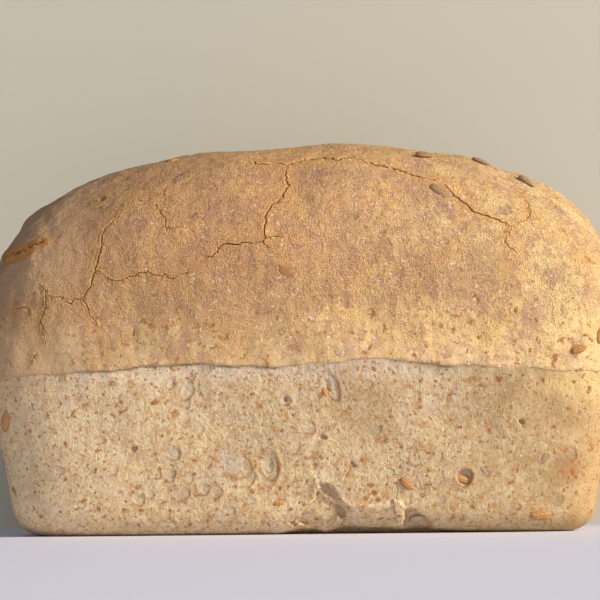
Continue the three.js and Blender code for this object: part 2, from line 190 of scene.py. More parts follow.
def tin_plan(z, x):
    a = tin_half(z, by_end(BASE, x), by_end(RIM, x))
    return a, tin_half(z, BASE["side"], RIM["side"]), CORNER_POWER["tin"]


def dome_plan(z, x):
    top = crest_z(x)
    powers = by_end(DOME_POWER, x)
    a = dome_half(z, top, by_end(RIM, x), by_end(DOME, x), WIDE_Z["end"], powers, LIP["end"])
    b = dome_half(z, top, RIM["side"], DOME["side"], WIDE_Z["side"], DOME_POWER["side"], LIP["side"])
    rise = smooth(1.15 * (z - RIM_Z) / (CROWN_Z - RIM_Z))
    return a, b, CORNER_POWER["tin"] + (CORNER_POWER["crown"] - CORNER_POWER["tin"]) * rise


print("the crest is", round(float(crest_z(0.0)), 1), "mm high in the middle")


# %% Dents, swellings and the wandering rim line
def rim_wander(x, y):
    """How far the rim line lies above its plain height; the back is like the front turned round."""
    wander = humps(RIM_LINE, np.where(y < 0, x, -x)) - RIM_SAG * (x / 100) ** 2
    wander = wander + 0.3 * np.sin(0.31 * x + 1.0) + 0.2 * np.sin(0.83 * x + 0.3 * y)
    return wander + 0.12 * np.sin(1.9 * x)


def uneven(p):
    """Moves points of the plain form to where the uneven crust has them."""
    x, y, z = p.T
    near = np.exp(-(((z - RIM_Z) / 14) ** 2))
    out = unit(np.stack([x / 3, y, 1.2 * np.maximum(0, z - RIM_Z)], axis=1))
    push = np.zeros(len(p))
    for along, start, height in WAVES:
        push += height * np.sin(p @ np.array(along) + start)
    for middle, reach, depth in DENTS:
        push -= depth * np.exp(-np.sum((p - np.array(middle)) ** 2, axis=1) / reach**2)
    moved = p + out * (push * smooth(z / 12))[:, None]
    moved[:, 2] += near * rim_wander(x, y)
    return moved


along_front = rim_wander(np.linspace(-110, 110, 221), -60.0)
print("the rim line wanders by", round(float(np.ptp(along_front)), 1), "mm")


# %% Rings round the loaf
# points of the outline from which a ring is picked
FINE = 1440


def distances(points):
    """How far along a line each of its points lies."""
    return np.concatenate([[0], np.cumsum(np.linalg.norm(np.diff(points, axis=0), axis=1))])


def points_at(points, length, at):
    return np.stack([np.interp(at, length, points[:, k]) for k in range(3)], axis=1)


def ring(height_at, plan_at, spacing):
    """Evenly spaced points round the loaf; the height may depend on x, through the crest."""
    angle = np.linspace(0, 2 * math.pi, FINE + 1)
    c, s = np.cos(angle), np.sin(angle)
    x, z = c.copy(), np.full(FINE + 1, height_at(0.0))
    for _ in range(4):
        a, b, n = plan_at(z, x)
        r = (np.abs(c / a) ** n + np.abs(s / b) ** n) ** (-1 / n)
        x = r * c
        z = height_at(x) + 0 * x
    p = np.stack([x, r * s, z], axis=1)
    length = distances(p)
    count = max(8, round(length[-1] / spacing))
    return points_at(p, length, np.linspace(0, length[-1], count, endpoint=False))


def stack(rings):
    """Joins rings, one above the other, with triangles; a ring of one point is a tip."""
    faces = []
    start = 0
    for low, high in zip(rings, rings[1:]):
        n, m = len(low), len(high)
        i = n if n == 1 else 0
        j = m if m == 1 else 0
        while i < n or j < m:
            a, b = start + i % n, start + n + j % m
            if j >= m or (i < n and (i + 1) / n <= (j + 1) / m):
                faces.append((a, start + (i + 1) % n, b))
                i += 1
            else:
                faces.append((a, start + n + (j + 1) % m, b))
                j += 1
        start += n
    return np.concatenate(rings), np.array(faces)


print("a ring at the rim has", len(ring(lambda x: RIM_Z, tin_plan, 2.0)), "points, 2 mm apart")


# %% [markdown]
# A loaf is big and its cracks are thin, so one even mesh would be either too coarse for the
# cracks or far too heavy. The crust starts coarse, and every triangle that is larger than the
# size wanted at its place is split. The size wanted is small along cracks and on the front.

# %% Splitting triangles where detail is wanted
def split_once(points, faces, size_wanted):
    pairs = np.sort(faces[:, [0, 1, 1, 2, 2, 0]].reshape(-1, 2), axis=1)
    edges, where = np.unique(pairs, axis=0, return_inverse=True)
    a, b = points[edges[:, 0]], points[edges[:, 1]]
    middle = (a + b) / 2
    long = np.linalg.norm(a - b, axis=1) > size_wanted(middle)
    number = np.full(len(edges), -1)
    number[long] = len(points) + np.arange(long.sum())
    mids = number[where.reshape(-1, 3)]
    split = (mids >= 0).sum(axis=1)
    done = [faces[split == 0]]
    for turn in range(3):
        f = np.roll(faces, -turn, axis=1)
        m = np.roll(mids, -turn, axis=1)
        one = (split == 1) & (m[:, 0] >= 0)
        two = (split == 2) & (m[:, 2] < 0)
        done += [np.stack([f[one, 0], m[one, 0], f[one, 2]], 1)]
        done += [np.stack([m[one, 0], f[one, 1], f[one, 2]], 1)]
        done += [np.stack([m[two, 0], f[two, 1], m[two, 1]], 1)]
        done += [np.stack([f[two, 0], m[two, 0], m[two, 1]], 1)]
        done += [np.stack([f[two, 0], m[two, 1], f[two, 2]], 1)]
    f, m = faces[split == 3], mids[split == 3]
    done += [np.stack([f[:, 0], m[:, 0], m[:, 2]], 1), np.stack([m[:, 0], f[:, 1], m[:, 1]], 1)]
    done += [np.stack([m[:, 2], m[:, 1], f[:, 2]], 1), m]
    return np.concatenate([points, middle[long]]), np.concatenate(done)


def refine(points, faces, size_wanted, rounds):
    for _ in range(rounds):
        points, faces = split_once(points, faces, size_wanted)
    return points, faces


one_split = split_once(np.eye(3), np.array([[0, 1, 2]]), lambda middle: np.zeros(len(middle)))[1]
print("a triangle that is too large on all sides becomes", len(one_split))


# %% Finding places on the crust
def inside(p):
    x, y, z = p.T
    a1, b1, n1 = tin_plan(z, x)
    a2, b2, n2 = dome_plan(z, x)
    low = z < RIM_Z
    a, b, n = np.where(low, a1, a2), np.where(low, b1, b2), np.where(low, n1, n2)
    return (np.abs(x / a) ** n + np.abs(y / b) ** n < 1) & (z >= 0) & (z < crest_z(x))


def leave(start, toward):
    """Where rays from inside the loaf leave it."""
    toward = unit(toward)
    low = np.zeros(len(start))
    high = np.full(len(start), 2 * DOME["left"])
    for _ in range(24):
        middle = (low + high) / 2
        within = inside(start + toward * middle[:, None])
        low = np.where(within, middle, low)
        high = np.where(within, high, middle)
    return start + toward * low[:, None]


def on_crust(p):
    """The places on the crust nearest to points, seen from the heart of the loaf, with normals."""
    p = np.atleast_2d(np.asarray(p, dtype=float))
    heart = np.stack([p[:, 0] * 0.8, 0 * p[:, 0], RIM_Z + 0.4 * (p[:, 2] - RIM_Z)], axis=1)
    out = unit(p - heart)
    help_axis = np.where(np.abs(out[:, :1]) > 0.8, [[0, 1, 0]], [[1, 0, 0]])
    a = unit(np.cross(out, help_axis))
    b = np.cross(out, a)

    def cast(q):
        return uneven(leave(heart, q - heart))

    normal = np.cross(cast(p + 2 * a) - cast(p - 2 * a), cast(p + 2 * b) - cast(p - 2 * b))
    return cast(p), unit(normal * np.sign(np.sum(normal * out, axis=1, keepdims=True)))


def seen(spots):
    """Places on the front, from where they are seen in the square frame."""
    spots = np.atleast_2d(np.asarray(spots, dtype=float))
    local = np.stack([spots[:, 0] - FRAME_SIZE / 2, FRAME_SIZE / 2 - spots[:, 1]], axis=1) / FOCAL
    ray = np.column_stack([local, -np.ones(len(local))]) @ VIEW_AXES.T
    ray /= ray[:, 1:2]
    far = np.full(len(spots), -EYE[1] - DOME["side"] - 4)
    for _ in range(280):
        outside = ~inside(EYE + ray * far[:, None])
        far = np.where(outside & (far < -EYE[1]), far + 0.25, far)
    return on_crust(EYE + ray * far[:, None])


print("the middle of the front is at", seen([[300, 300]])[0].round(1))


# %% [markdown]
# Cracks opened when the crust dried while the dough below it still rose. Each one is a jagged
# line over the crust. Here each line is named by the corners it turns at, on the front by where
# they are seen, and elsewhere in millimetres. A seeded wobble between the corners makes them
# ragged, and the width of each crack dies away at its ends.

# %% Lines of the cracks
FRONT_CRACKS = {
    # how wide each crack is beside the others, and its corners, across and down as they are seen
    "crown": (1.5, [(253, 162), (257, 164.5), (270, 164), (288, 163.5), (300, 161), (312, 158.5),
                     (322, 157.5), (330, 158), (337, 161), (341, 159), (345, 157), (352, 156.5)]),
    "crown_right": (1.0, [(352, 156.5), (358, 159), (367, 162.5), (376, 166), (385, 167.5), (398, 171),
                          (411, 175.5), (420, 178), (432, 180.5), (437, 178.5)]),
    "shoulder": (0.8, [(445, 186), (456, 197), (467, 206), (475, 213.5), (487, 217.5), (495, 221),
                        (503, 224), (512, 228.5)]),
    "shoulder_hook": (0.4, [(516, 226), (525, 221), (531, 217), (530, 211), (523, 198), (523, 193)]),
    "shoulder_foot": (0.35, [(511, 229), (506, 237), (503, 243), (507, 248), (516, 254)]),
    "far_right": (0.4, [(545, 192), (556, 199), (565, 205)]),
    "right_nick": (0.4, [(558, 228), (570, 240)]),
    "right_end": (0.4, [(585, 257), (590, 261), (598, 263)]),
    "middle": (0.7, [(288, 164), (286, 170), (285, 174), (288, 181), (286, 189), (281, 196),
                      (277, 200), (271, 204), (267, 212), (265, 222), (265, 240), (266, 247), (270, 251)]),
    "middle_right": (0.3, [(265, 239), (272, 238), (284, 239)]),
    "middle_left": (0.65, [(265, 243), (258, 243.5), (245, 244), (238, 245), (227, 243), (222, 243.5),
                          (220, 247), (217, 253), (213, 257), (205, 258)]),
    "panel_top": (0.45, [(166, 193), (164, 198.5), (155, 201), (145, 203), (133, 205), (125, 207)]),
    "panel_side": (0.6, [(125, 207), (123, 213), (120, 217), (114, 221), (109, 225), (104, 231),
                          (102, 240), (100, 250), (97, 262), (93, 269.5), (92, 280), (88, 287),
                          (84, 295), (83.5, 300), (86, 307), (90, 313), (97, 324)]),
    "panel_foot": (0.45, [(93, 269.5), (97, 270), (101, 272), (104, 277), (109, 278.5), (120, 280),
                          (127, 276.5), (135, 274), (144, 272), (152, 274), (160, 276), (165, 275),
                          (170, 280), (176, 277.5), (182, 274), (187, 270.5)]),
    "panel_inner": (0.35, [(154, 203), (158, 209), (162, 215), (165, 221), (167, 229), (178, 227),
                           (183, 224)]),
    "left": (0.5, [(42, 284), (46, 296), (46, 304), (41, 317), (41, 324), (45, 335)]),
    "left_branch": (0.35, [(50, 296), (63, 296.5), (70, 304), (73, 300), (81, 297)]),
    "left_end": (0.35, [(15, 307), (25, 307), (32, 311)]),
    "left_foot": (0.4, [(39, 345), (32, 346), (29.5, 352)]),
    "panel_drop": (0.3, [(98, 359), (101, 367)]),
    "tear_slit": (0.9, [(5, 258.5), (14, 254), (25, 251), (36, 246.5), (46, 242)]),
    "slit": (0.6, [(95.5, 201), (100, 200), (106, 199)]),
    "fold_right": (0.45, [(386, 465), (391, 470), (395, 473), (402, 478)]),
    "fold_right_foot": (0.3, [(398, 485), (397, 492), (396, 500)]),
    "kernel_notch": (0.4, [(342, 476), (344, 472), (347, 470)]),
    "rim_slit": (0.5, [(326, 378), (330, 384), (333, 392), (336, 397)]),
}
OTHER_CRACKS = {
    # the same, with corners in millimetres
    "top": (0.7, [(-72, 16, 140), (-58, 8, 144), (-45, 13, 146), (-36, 3, 148), (-14, 8, 148),
                  (8, -2, 149)]),
    "top_right": (0.6, [(44, 16, 147), (52, 6, 148), (66, 9, 146), (74, -3, 145)]),
    "top_branch": (0.4, [(-45, 13, 146), (-50, 24, 142), (-44, 34, 137)]),
    "end_left": (0.5, [(-110, 16, 113), (-116, 8, 104), (-117, 14, 95), (-120, 5, 84)]),
    "end_right": (0.5, [(104, -16, 119), (111, -4, 112), (116, -7, 100), (119, 6, 92)]),
}
BACK_CRACKS = ["middle", "middle_left", "panel_top", "panel_side", "panel_foot", "shoulder"]
BACK_SHIFT = np.array([11.0, 0.0, -3.0])
CRACK_STEP = 0.7
CRACK_WOBBLE = 0.28
CRACK_WIDTH = 0.41
CRACK_LEAST = 0.19


def ragged(points, seed):
    """Evenly close points along a line of corners, with a smooth seeded wobble."""
    random = np.random.default_rng(seed)
    length = distances(points)
    count = max(4, int(length[-1] / CRACK_STEP))
    line = points_at(points, length, np.linspace(0, length[-1], count))
    wobble = random.normal(0, CRACK_WOBBLE, (count, 3))
    wobble[1:-1] = (wobble[:-2] + wobble[1:-1] * 2 + wobble[2:]) / 2.4
    return on_crust(line + wobble)[0]


def half_round(points):
    return points * np.array([-1, -1, 1]) + BACK_SHIFT


def crack(width, corners, seed):
    return max(CRACK_LEAST, width * CRACK_WIDTH), ragged(corners, seed)


lines = []
for number, (name, (width, spots)) in enumerate(FRONT_CRACKS.items()):
    corners = seen(spots)[0]
    lines.append(crack(width, corners, number))
    if name in BACK_CRACKS:
        lines.append(crack(width, half_round(corners), number + 50))
for number, (width, corners) in enumerate(OTHER_CRACKS.values()):
    lines.append(crack(width, np.array(corners, dtype=float), number + 90))
crack_points = np.concatenate([line for _, line in lines])
print(len(lines), "cracks,", len(crack_points), "points along them")


# %% A mesh of the crack lines
def new_mesh(name, points, faces=(), edges=()):
    mesh = bpy.data.meshes.new(name)
    mesh.from_pydata(np.asarray(points) * MM, list(edges), [tuple(f) for f in faces])
    mesh.update()
    return mesh


def write_attribute(mesh, name, values):
    values = np.asarray(values, dtype=np.float32)
    kind, key = ("FLOAT", "value") if values.ndim == 1 else ("FLOAT_VECTOR", "vector")
    attribute = mesh.attributes.new(name, kind, "POINT")
    attribute.data.foreach_set(key, values.ravel())


def crack_object():
    edges, wide, start = [], [], 0
    for width, line in lines:
        n = len(line)
        edges += [(start + i, start + i + 1) for i in range(n - 1)]
        wide.append(width * (0.35 + 0.65 * np.sin(math.pi * np.linspace(0.06, 0.94, n)) ** 0.7))
        start += n
    mesh = new_mesh("crack_lines", crack_points, edges=edges)
    write_attribute(mesh, "wide", np.concatenate(wide))
    return bpy.data.objects.new("crack_lines", mesh)


crack_lines = crack_object()
crack_tree = KDTree(len(crack_points))
for index, point in enumerate(crack_points):
    crack_tree.insert(point, index)
crack_tree.balance()
print("the mesh of the crack lines has", len(crack_lines.data.edges), "edges")


# %% [markdown]
# Against the tin the dough had many small bubbles. Where one lay at the metal its skin is thin:
# it dries to a grey, glassy window a little below the surface, often with a raised ring round
# it, or it breaks and leaves a small dark hole. They are stamped into the mesh one by one, each
# with its own place, turn, length, width and depth, and spread by a seeded rule where the front
# view can't show them.

# %% Bubbles in the tin's print
BUBBLES = [
    # across and down as seen, turn in degrees, length, width and depth in millimetres, ring
    (269.5, 465.5, 82, 10.8, 7.4, 0.9, 0.35), (269.5, 465.5, 82, 5.2, 3.0, 0.5, 0.3),
    (269.5, 465, 82, 1.7, 1.2, 0.9, 0.1), (250, 479, 50, 6.2, 3.8, 0.8, 0.2),
    (233, 462, -50, 15, 10, 0.3, 0.1), (138, 499, -60, 5.6, 4.2, 0.7, 0.2),
    (149, 494, -70, 4.2, 3.2, 0.6, 0.1), (173, 453, 10, 6.2, 4.8, 0.7, 0.1),
    (170, 475, 60, 5, 4, 0.6, 0.2), (157, 474, 80, 3.8, 2.8, 0.6, 0.2),
    (182, 494, 30, 6.4, 5, 0.5, 0.25), (190, 478, 90, 4, 3, 0.5, 0.1), (205, 489, 20, 4.6, 4, 0.8, 0.1),
    (216, 491, -50, 6, 4.4, 0.8, 0.1), (171, 384, 80, 4.4, 2.6, 0.9, 0.1),
    (187.5, 391, 75, 8, 5, 0.8, 0.15), (186, 404, 60, 4, 3.2, 0.8, 0), (197, 387, 80, 4.6, 1.8, 0.7, 0),
    (133.5, 449, 50, 2.8, 2.4, 1.6, 0.2), (285, 399, 60, 4.4, 3.8, 0.8, 0.25),
    (285.5, 399, 60, 1.8, 1.6, 1.5, 0), (248, 499, 0, 5, 4, 0.4, 0.1),
    (230, 510, -20, 4.4, 3.2, 0.7, 0), (297, 447, 75, 5, 2.6, 0.6, 0), (308, 427, 0, 6, 5, 0.5, 0.1),
    (323, 437, 0, 2.2, 2.0, 1.4, 0), (353, 464, -60, 2.4, 1.4, 1.6, 0), (463.5, 477, 0, 6.8, 6.4, 1.7, 0.3),
    (331, 386, -62, 11, 6, 1, 0.2), (545, 457, 60, 4.4, 3.2, 0.5, 0.1),
    (484, 471, -50, 5, 2.8, 0.5, 0.1), (573, 453, 80, 5, 4.4, 0.7, 0.2),
    (522, 421, 20, 2.6, 2.3, 1.3, 0.1), (514, 506, 10, 5, 4, 0.5, 0.1), (440, 500, 40, 4, 3, 0.4, 0.1),
    (378, 430, 40, 3.4, 2.6, 0.5, 0), (367, 389, 0, 4.6, 3.6, 0.7, 0), (560, 500, 20, 4.4, 3.4, 0.5, 0.1),
    (100, 440, 30, 4, 3, 0.6, 0.1), (60, 470, -30, 4.6, 3.4, 0.6, 0.1), (115, 470, 80, 3.6, 2.6, 0.6, 0),
    (80, 505, 10, 4.2, 3, 0.5, 0.1), (200, 430, 40, 3.2, 2.4, 0.5, 0.1), (250, 420, 20, 3, 2.2, 0.5, 0),
]
CRATERS = [
    # the same, on the dome
    (503, 211, 0, 7, 5, 0.8, 0.25), (345, 300, -75, 5.6, 2.4, 1.0, 0.2), (335, 284, -60, 10, 7, -2.4, 0.0),
    (102, 200, 8, 5, 2, 1.2, 0.1), (189, 215, 30, 4.6, 3, 0.8, 0.15), (308, 198, -50, 4.4, 2.8, 1, 0.1),
    (378, 192, -60, 4.4, 2.6, 0.6, 0.1), (352, 216, -10, 5, 1.6, 0.9, 0.1),
    (324, 209, -8, 3.6, 1.2, 0.8, 0.1), (231, 223, -10, 5, 2.4, 0.7, 0.1), (113, 238, 0, 4, 3, 0.5, 0.2),
    (388, 245, 30, 3.4, 2.4, 0.7, 0.1), (177, 175, 0, 3.4, 2, 0.8, 0.1),
]
HIDDEN_BUBBLES = {"seed": 3, "count": 90, "apart": 9.0}
BRAN_CHIPS = [
    # across, down, how large it is seen
    (156, 401, 11), (260, 406, 10), (287, 405, 8), (321, 394, 9), (162, 436, 7), (194, 430, 5), (155, 454, 8),
    (211, 465, 7), (156, 475, 6), (194, 474, 6), (138, 487, 10), (141, 510, 8), (217, 495, 8), (252, 491, 9),
    (262, 489, 8), (279, 502, 12), (265, 514, 7), (217, 509, 7), (211, 516, 8), (190, 525, 8), (170, 510, 6),
    (315, 466, 9), (234, 429, 5), (222, 421, 5), (252, 394, 7), (270, 379, 6), (245, 379, 6), (205, 407, 6),
    (475, 377, 9), (499, 376, 12), (532, 377, 5), (544, 374, 7), (574, 374, 7), (590, 382, 7), (582, 412, 8),
    (511, 401, 6), (499, 405, 6), (490, 430, 9), (557, 426, 9), (555, 437, 8), (572, 461, 10), (576, 478, 9),
    (564, 474, 8), (512, 482, 9), (472, 506, 10), (457, 506, 8), (530, 505, 7), (462, 520, 8), (506, 519, 7),
    (590, 490, 7), (565, 490, 9), (572, 505, 7), (466, 437, 6), (476, 392, 7), (451, 420, 6), (74, 415, 8),
    (67, 444, 9), (87, 450, 6), (105, 469, 6), (67, 479, 8), (85, 500, 9), (79, 485, 6), (99, 509, 8),
    (125, 511, 9), (164, 502, 9), (131, 441, 8), (165, 482, 7), (130, 380, 7), (110, 381, 7), (80, 397, 8),
    (66, 395, 6), (121, 401, 8), (41, 516, 8), (15, 490, 7), (280, 448, 6), (362, 460, 7), (371, 485, 9),
    (374, 493, 9), (366, 499, 9), (378, 501, 10), (428, 470, 8), (434, 489, 6), (401, 434, 7), (401, 447, 6),
    (291, 510, 7), (280, 488, 7), (60, 460, 6), (45, 480, 6), (30, 430, 7), (420, 400, 6), (440, 385, 6),
    (568, 450, 9), (580, 462, 8), (573, 471, 15), (562, 472, 9), (584, 474, 9), (350, 410, 6),
    (385, 440, 6), (335, 425, 6), (410, 415, 5), (300, 385, 6), (360, 380, 6), (395, 385, 7),
]
HIDDEN_CHIPS = {"seed": 29, "count": 260, "apart": 4.6}
print(len(BUBBLES), "bubbles and", len(BRAN_CHIPS), "chips of bran are placed on the front of the print")


# %% Places that the front view can't show
TRIES = 4000


def turned_axes(normal, turn):
    """A thing's length and width axes on the crust, turned by degrees from level."""
    along = np.where(np.abs(normal[:, :1]) > 0.9, [[0.0, 1.0, 0.0]], [[1.0, 0.0, 0.0]])
    along = along - normal * np.sum(along * normal, axis=1, keepdims=True)
    along = unit(along)
    across = np.cross(normal, along)
    angle = np.radians(np.asarray(turn, dtype=float))[:, None]
    c, s = np.cos(angle), np.sin(angle)
    return along * c + across * s, across * c - along * s


def hidden_spots(low, high, count, apart, seed):
    """Seeded places on the crust that the front view doesn't show, well apart."""
    random = np.random.default_rng(seed)
    angle = random.uniform(0, 2 * math.pi, TRIES)
    reach = np.where(high > RIM_Z, random.uniform(0.1, 1, TRIES), 1.0)
    z = random.uniform(low, high, TRIES)
    start = [np.cos(angle) * DOME["left"] * reach, np.sin(angle) * DOME["side"] * reach, z]
    places, normals = on_crust(np.stack(start, axis=1))
    chosen, picked = [], []
    for i, (p, n) in enumerate(zip(places, normals)):
        hidden = (n[1] > -0.3 or n[2] > 0.9) and (p[1] > 6 or abs(n[0]) > 0.75)
        if hidden and low < p[2] < high and all(np.sum((p - q) ** 2) > apart**2 for q in chosen):
            chosen.append(p)
            picked.append(i)
        if len(picked) == count:
            break
    return places[picked], normals[picked], random


print("the first hidden bubble is at", hidden_spots(5, RIM_Z - 6, **HIDDEN_BUBBLES)[0][0].round(1))


# %% How a bubble is stamped
def stamps(rows, hidden=None):
    """The frames and sizes of all bubbles in a list, with hidden ones added."""
    rows = np.array(rows)
    middle, normal = seen(rows[:, :2])
    turn, size = rows[:, 2], rows[:, 3:]
    if hidden:
        more, more_normal, random = hidden_spots(5, RIM_Z - 6, **hidden)
        pick = rows[random.integers(5, len(rows), len(more))]
        middle, normal = np.concatenate([middle, more]), np.concatenate([normal, more_normal])
        turn = np.concatenate([turn, random.uniform(0, 180, len(more))])
        size = np.concatenate([size, pick[:, 3:]])
    along, across = turned_axes(normal, turn)
    return middle, along, across, normal, size


tin_bubbles = stamps(BUBBLES, HIDDEN_BUBBLES)
dome_craters = stamps(CRATERS)
print(len(tin_bubbles[0]), "bubbles in the tin's print and", len(dome_craters[0]), "on the dome")


# %% What bubbles and chips of bran do to the points
def stamp(points, marks):
    """How far bubbles push points, and how much each point lies in one, on its rim or in its shade."""
    push, window, rim, shade = (np.zeros(len(points)) for _ in range(4))
    for middle, along, across, normal, (length, width, depth, rise) in zip(*marks):
        near = np.flatnonzero(np.sum((points - middle) ** 2, axis=1) < (length * 0.95) ** 2)
        offset = points[near] - middle
        forth, side = offset @ along / length * 2, offset @ across / width * 2
        angle = np.arctan2(side, forth)
        odd = middle @ np.array([1.7, 2.3, 3.1])
        r = np.hypot(forth, side) * (1 + 0.1 * np.sin(2 * angle + odd) + 0.07 * np.sin(3 * angle + 2 * odd))
        bowl = smooth((1.0 - r) / 0.45)
        ring_height = np.exp(-(((r - 1.12) / 0.2) ** 2)) * (0.6 + 0.4 * np.sin(angle + odd))
        push[near] += -depth * bowl * (0.3 if depth < 1.2 else 1.0) + 0.6 * rise * ring_height
        clear = 0.45 + 0.55 * abs(math.sin(odd)) if depth > 0 else 0.0
        window[near] = np.maximum(window[near], bowl * clear)
        rim[near] = np.maximum(rim[near], ring_height)
        low_right = (offset[:, 0] - offset[:, 2]) / np.maximum(np.linalg.norm(offset, axis=1), 0.1) / 1.41
        crescent = np.exp(-(((r - 0.95) / 0.12) ** 2)) * np.clip(0.55 + 0.8 * low_right, 0.15, 1)
        shade[near] = np.maximum(shade[near], crescent * min(1.0, max(0.3, 0.4 + depth)))
    return push, window, rim, shade


def chips(points):
    """How much each point lies in a chip of bran under the skin, with a soft edge."""
    rows = np.array(BRAN_CHIPS, dtype=float)
    middles, _ = seen(rows[:, :2])
    sizes = rows[:, 2] * FRONT_SCALE / 2
    more, _, random = hidden_spots(4, RIM_Z - 3, **HIDDEN_CHIPS)
    middles = np.concatenate([middles, more])
    sizes = np.concatenate([sizes, random.uniform(0.9, 2.0, len(more))])
    amount = np.zeros(len(points))
    for middle, size, turn in zip(middles, sizes, random.uniform(0, 6, len(middles))):
        near = np.flatnonzero(np.sum((points - middle) ** 2, axis=1) < (size * 2) ** 2)
        x, z = (points[near] - middle)[:, [0, 2]].T
        y = (points[near] - middle)[:, 1]
        longer = np.hypot(x, y) * np.cos(turn) + z * np.sin(turn)
        r = np.sqrt(x * x + y * y + z * z + 0.5 * longer**2) / size
        amount[near] = np.maximum(amount[near], smooth((1.25 - r) / 0.9))
    return amount


in_chip = chips(seen([BRAN_CHIPS[0][:2]])[0])[0]
print("the middle of a chip lies in bran by", round(float(in_chip), 2))


# %% [markdown]
# At the foot of the front two sheets of dough met in the tin and never joined. The left one ends
# in a round lobe, a lump of dough sits in the corner beside it, and the right one laps over with
# a thin torn edge. Between and below them the foot is lifted off the table. The outlines are
# taken where they are seen, and the crust is set back inside them.

# %% The fold at the foot
FOOT_MIDDLE = {"x": 0.4, "across": 304}
FOOT_RISE = [
    # where along the foot, and how far it is lifted there in millimetres
    (272, 0), (281, 0.6), (290, 1.2), (300, 1.7), (312, 1.8), (318, 1.2), (323, 0.7), (328, 1.2),
    (334, 2.0), (341, 2.8), (350, 2.4), (360, 2.0), (375, 1.8), (388, 1.9), (397, 1.5), (405, 1.2),
    (425, 1.6), (440, 1.0), (458, 0.6), (500, 0.3), (560, 0.2), (600, 0),
]
FOOT_REACH = {"height": 15.0, "back": -36.0, "fade": 9.0}
WEDGE = [(320, 485), (327, 485), (334, 490), (340, 499), (346, 509), (350, 516), (342, 519), (337, 513),
         (334, 505), (329, 498), (321, 493)]
SOFT_VALLEY = [(318, 438), (313, 448), (312, 458), (316, 470), (320, 482)]
MOUTH = [(335, 504), (341, 505), (346, 511), (345, 517), (340, 518), (336, 512)]
NUB = [(318, 491), (324, 496), (330, 500), (335, 506), (338, 514), (334, 522), (324, 529), (312, 526),
       (300, 523), (292, 526), (300, 517), (308, 509), (314, 501)]
UNDER = [(338, 503), (346, 507), (360, 509), (377, 510), (392, 507), (394, 530), (342, 530), (338, 516)]
RIGHT_GAP = [(403, 508), (410, 510), (418, 512), (425, 516), (430, 521), (433, 527), (425, 531), (404, 530)]
LOBE_EDGE = [(319, 480), (320, 489), (315, 500), (308, 509), (300, 517), (291, 523), (282, 528)]
FLAP_LIP = [(335, 497), (341, 502), (350, 505.5), (362, 507), (376, 507.5), (390, 505)]
SMALL_FLAP = [(393, 500), (401, 502), (405, 508), (404, 516), (403, 525), (397, 526), (394, 514)]


def to_edge(p, q, spots):
    """Distance to the straight edge between two corners."""
    edge, offset = q - p, spots - p
    t = np.clip(offset @ edge / (edge @ edge), 0, 1)
    return np.linalg.norm(offset - t[:, None] * edge, axis=1)


def line_distance(line, spots):
    """Distance to a line of corners."""
    line = np.array(line, dtype=float)
    return np.min([to_edge(p, q, spots) for p, q in zip(line, line[1:])], axis=0)


def edge_distance(polygon, spots):
    """Distance to a polygon's edge, positive inside it."""
    polygon = np.array(polygon, dtype=float)
    across, down = spots.T
    within = np.zeros(len(spots), dtype=bool)
    for p, q in zip(polygon, np.roll(polygon, -1, axis=0)):
        level = (p[1] > down) != (q[1] > down)
        slope = (q[0] - p[0]) / (q[1] - p[1]) if q[1] != p[1] else 0
        within ^= level & (across < slope * (down - p[1]) + p[0])
    nearest = line_distance([*polygon, polygon[0]], spots)
    return np.where(within, nearest, -nearest)


def near_line(line, spots, reach):
    """One on a line of corners, and fading to nothing away from it."""
    return np.exp(-((line_distance(line, spots) / reach) ** 2))


print("the foot is lifted by", max(rise for _, rise in FOOT_RISE), "mm at most")


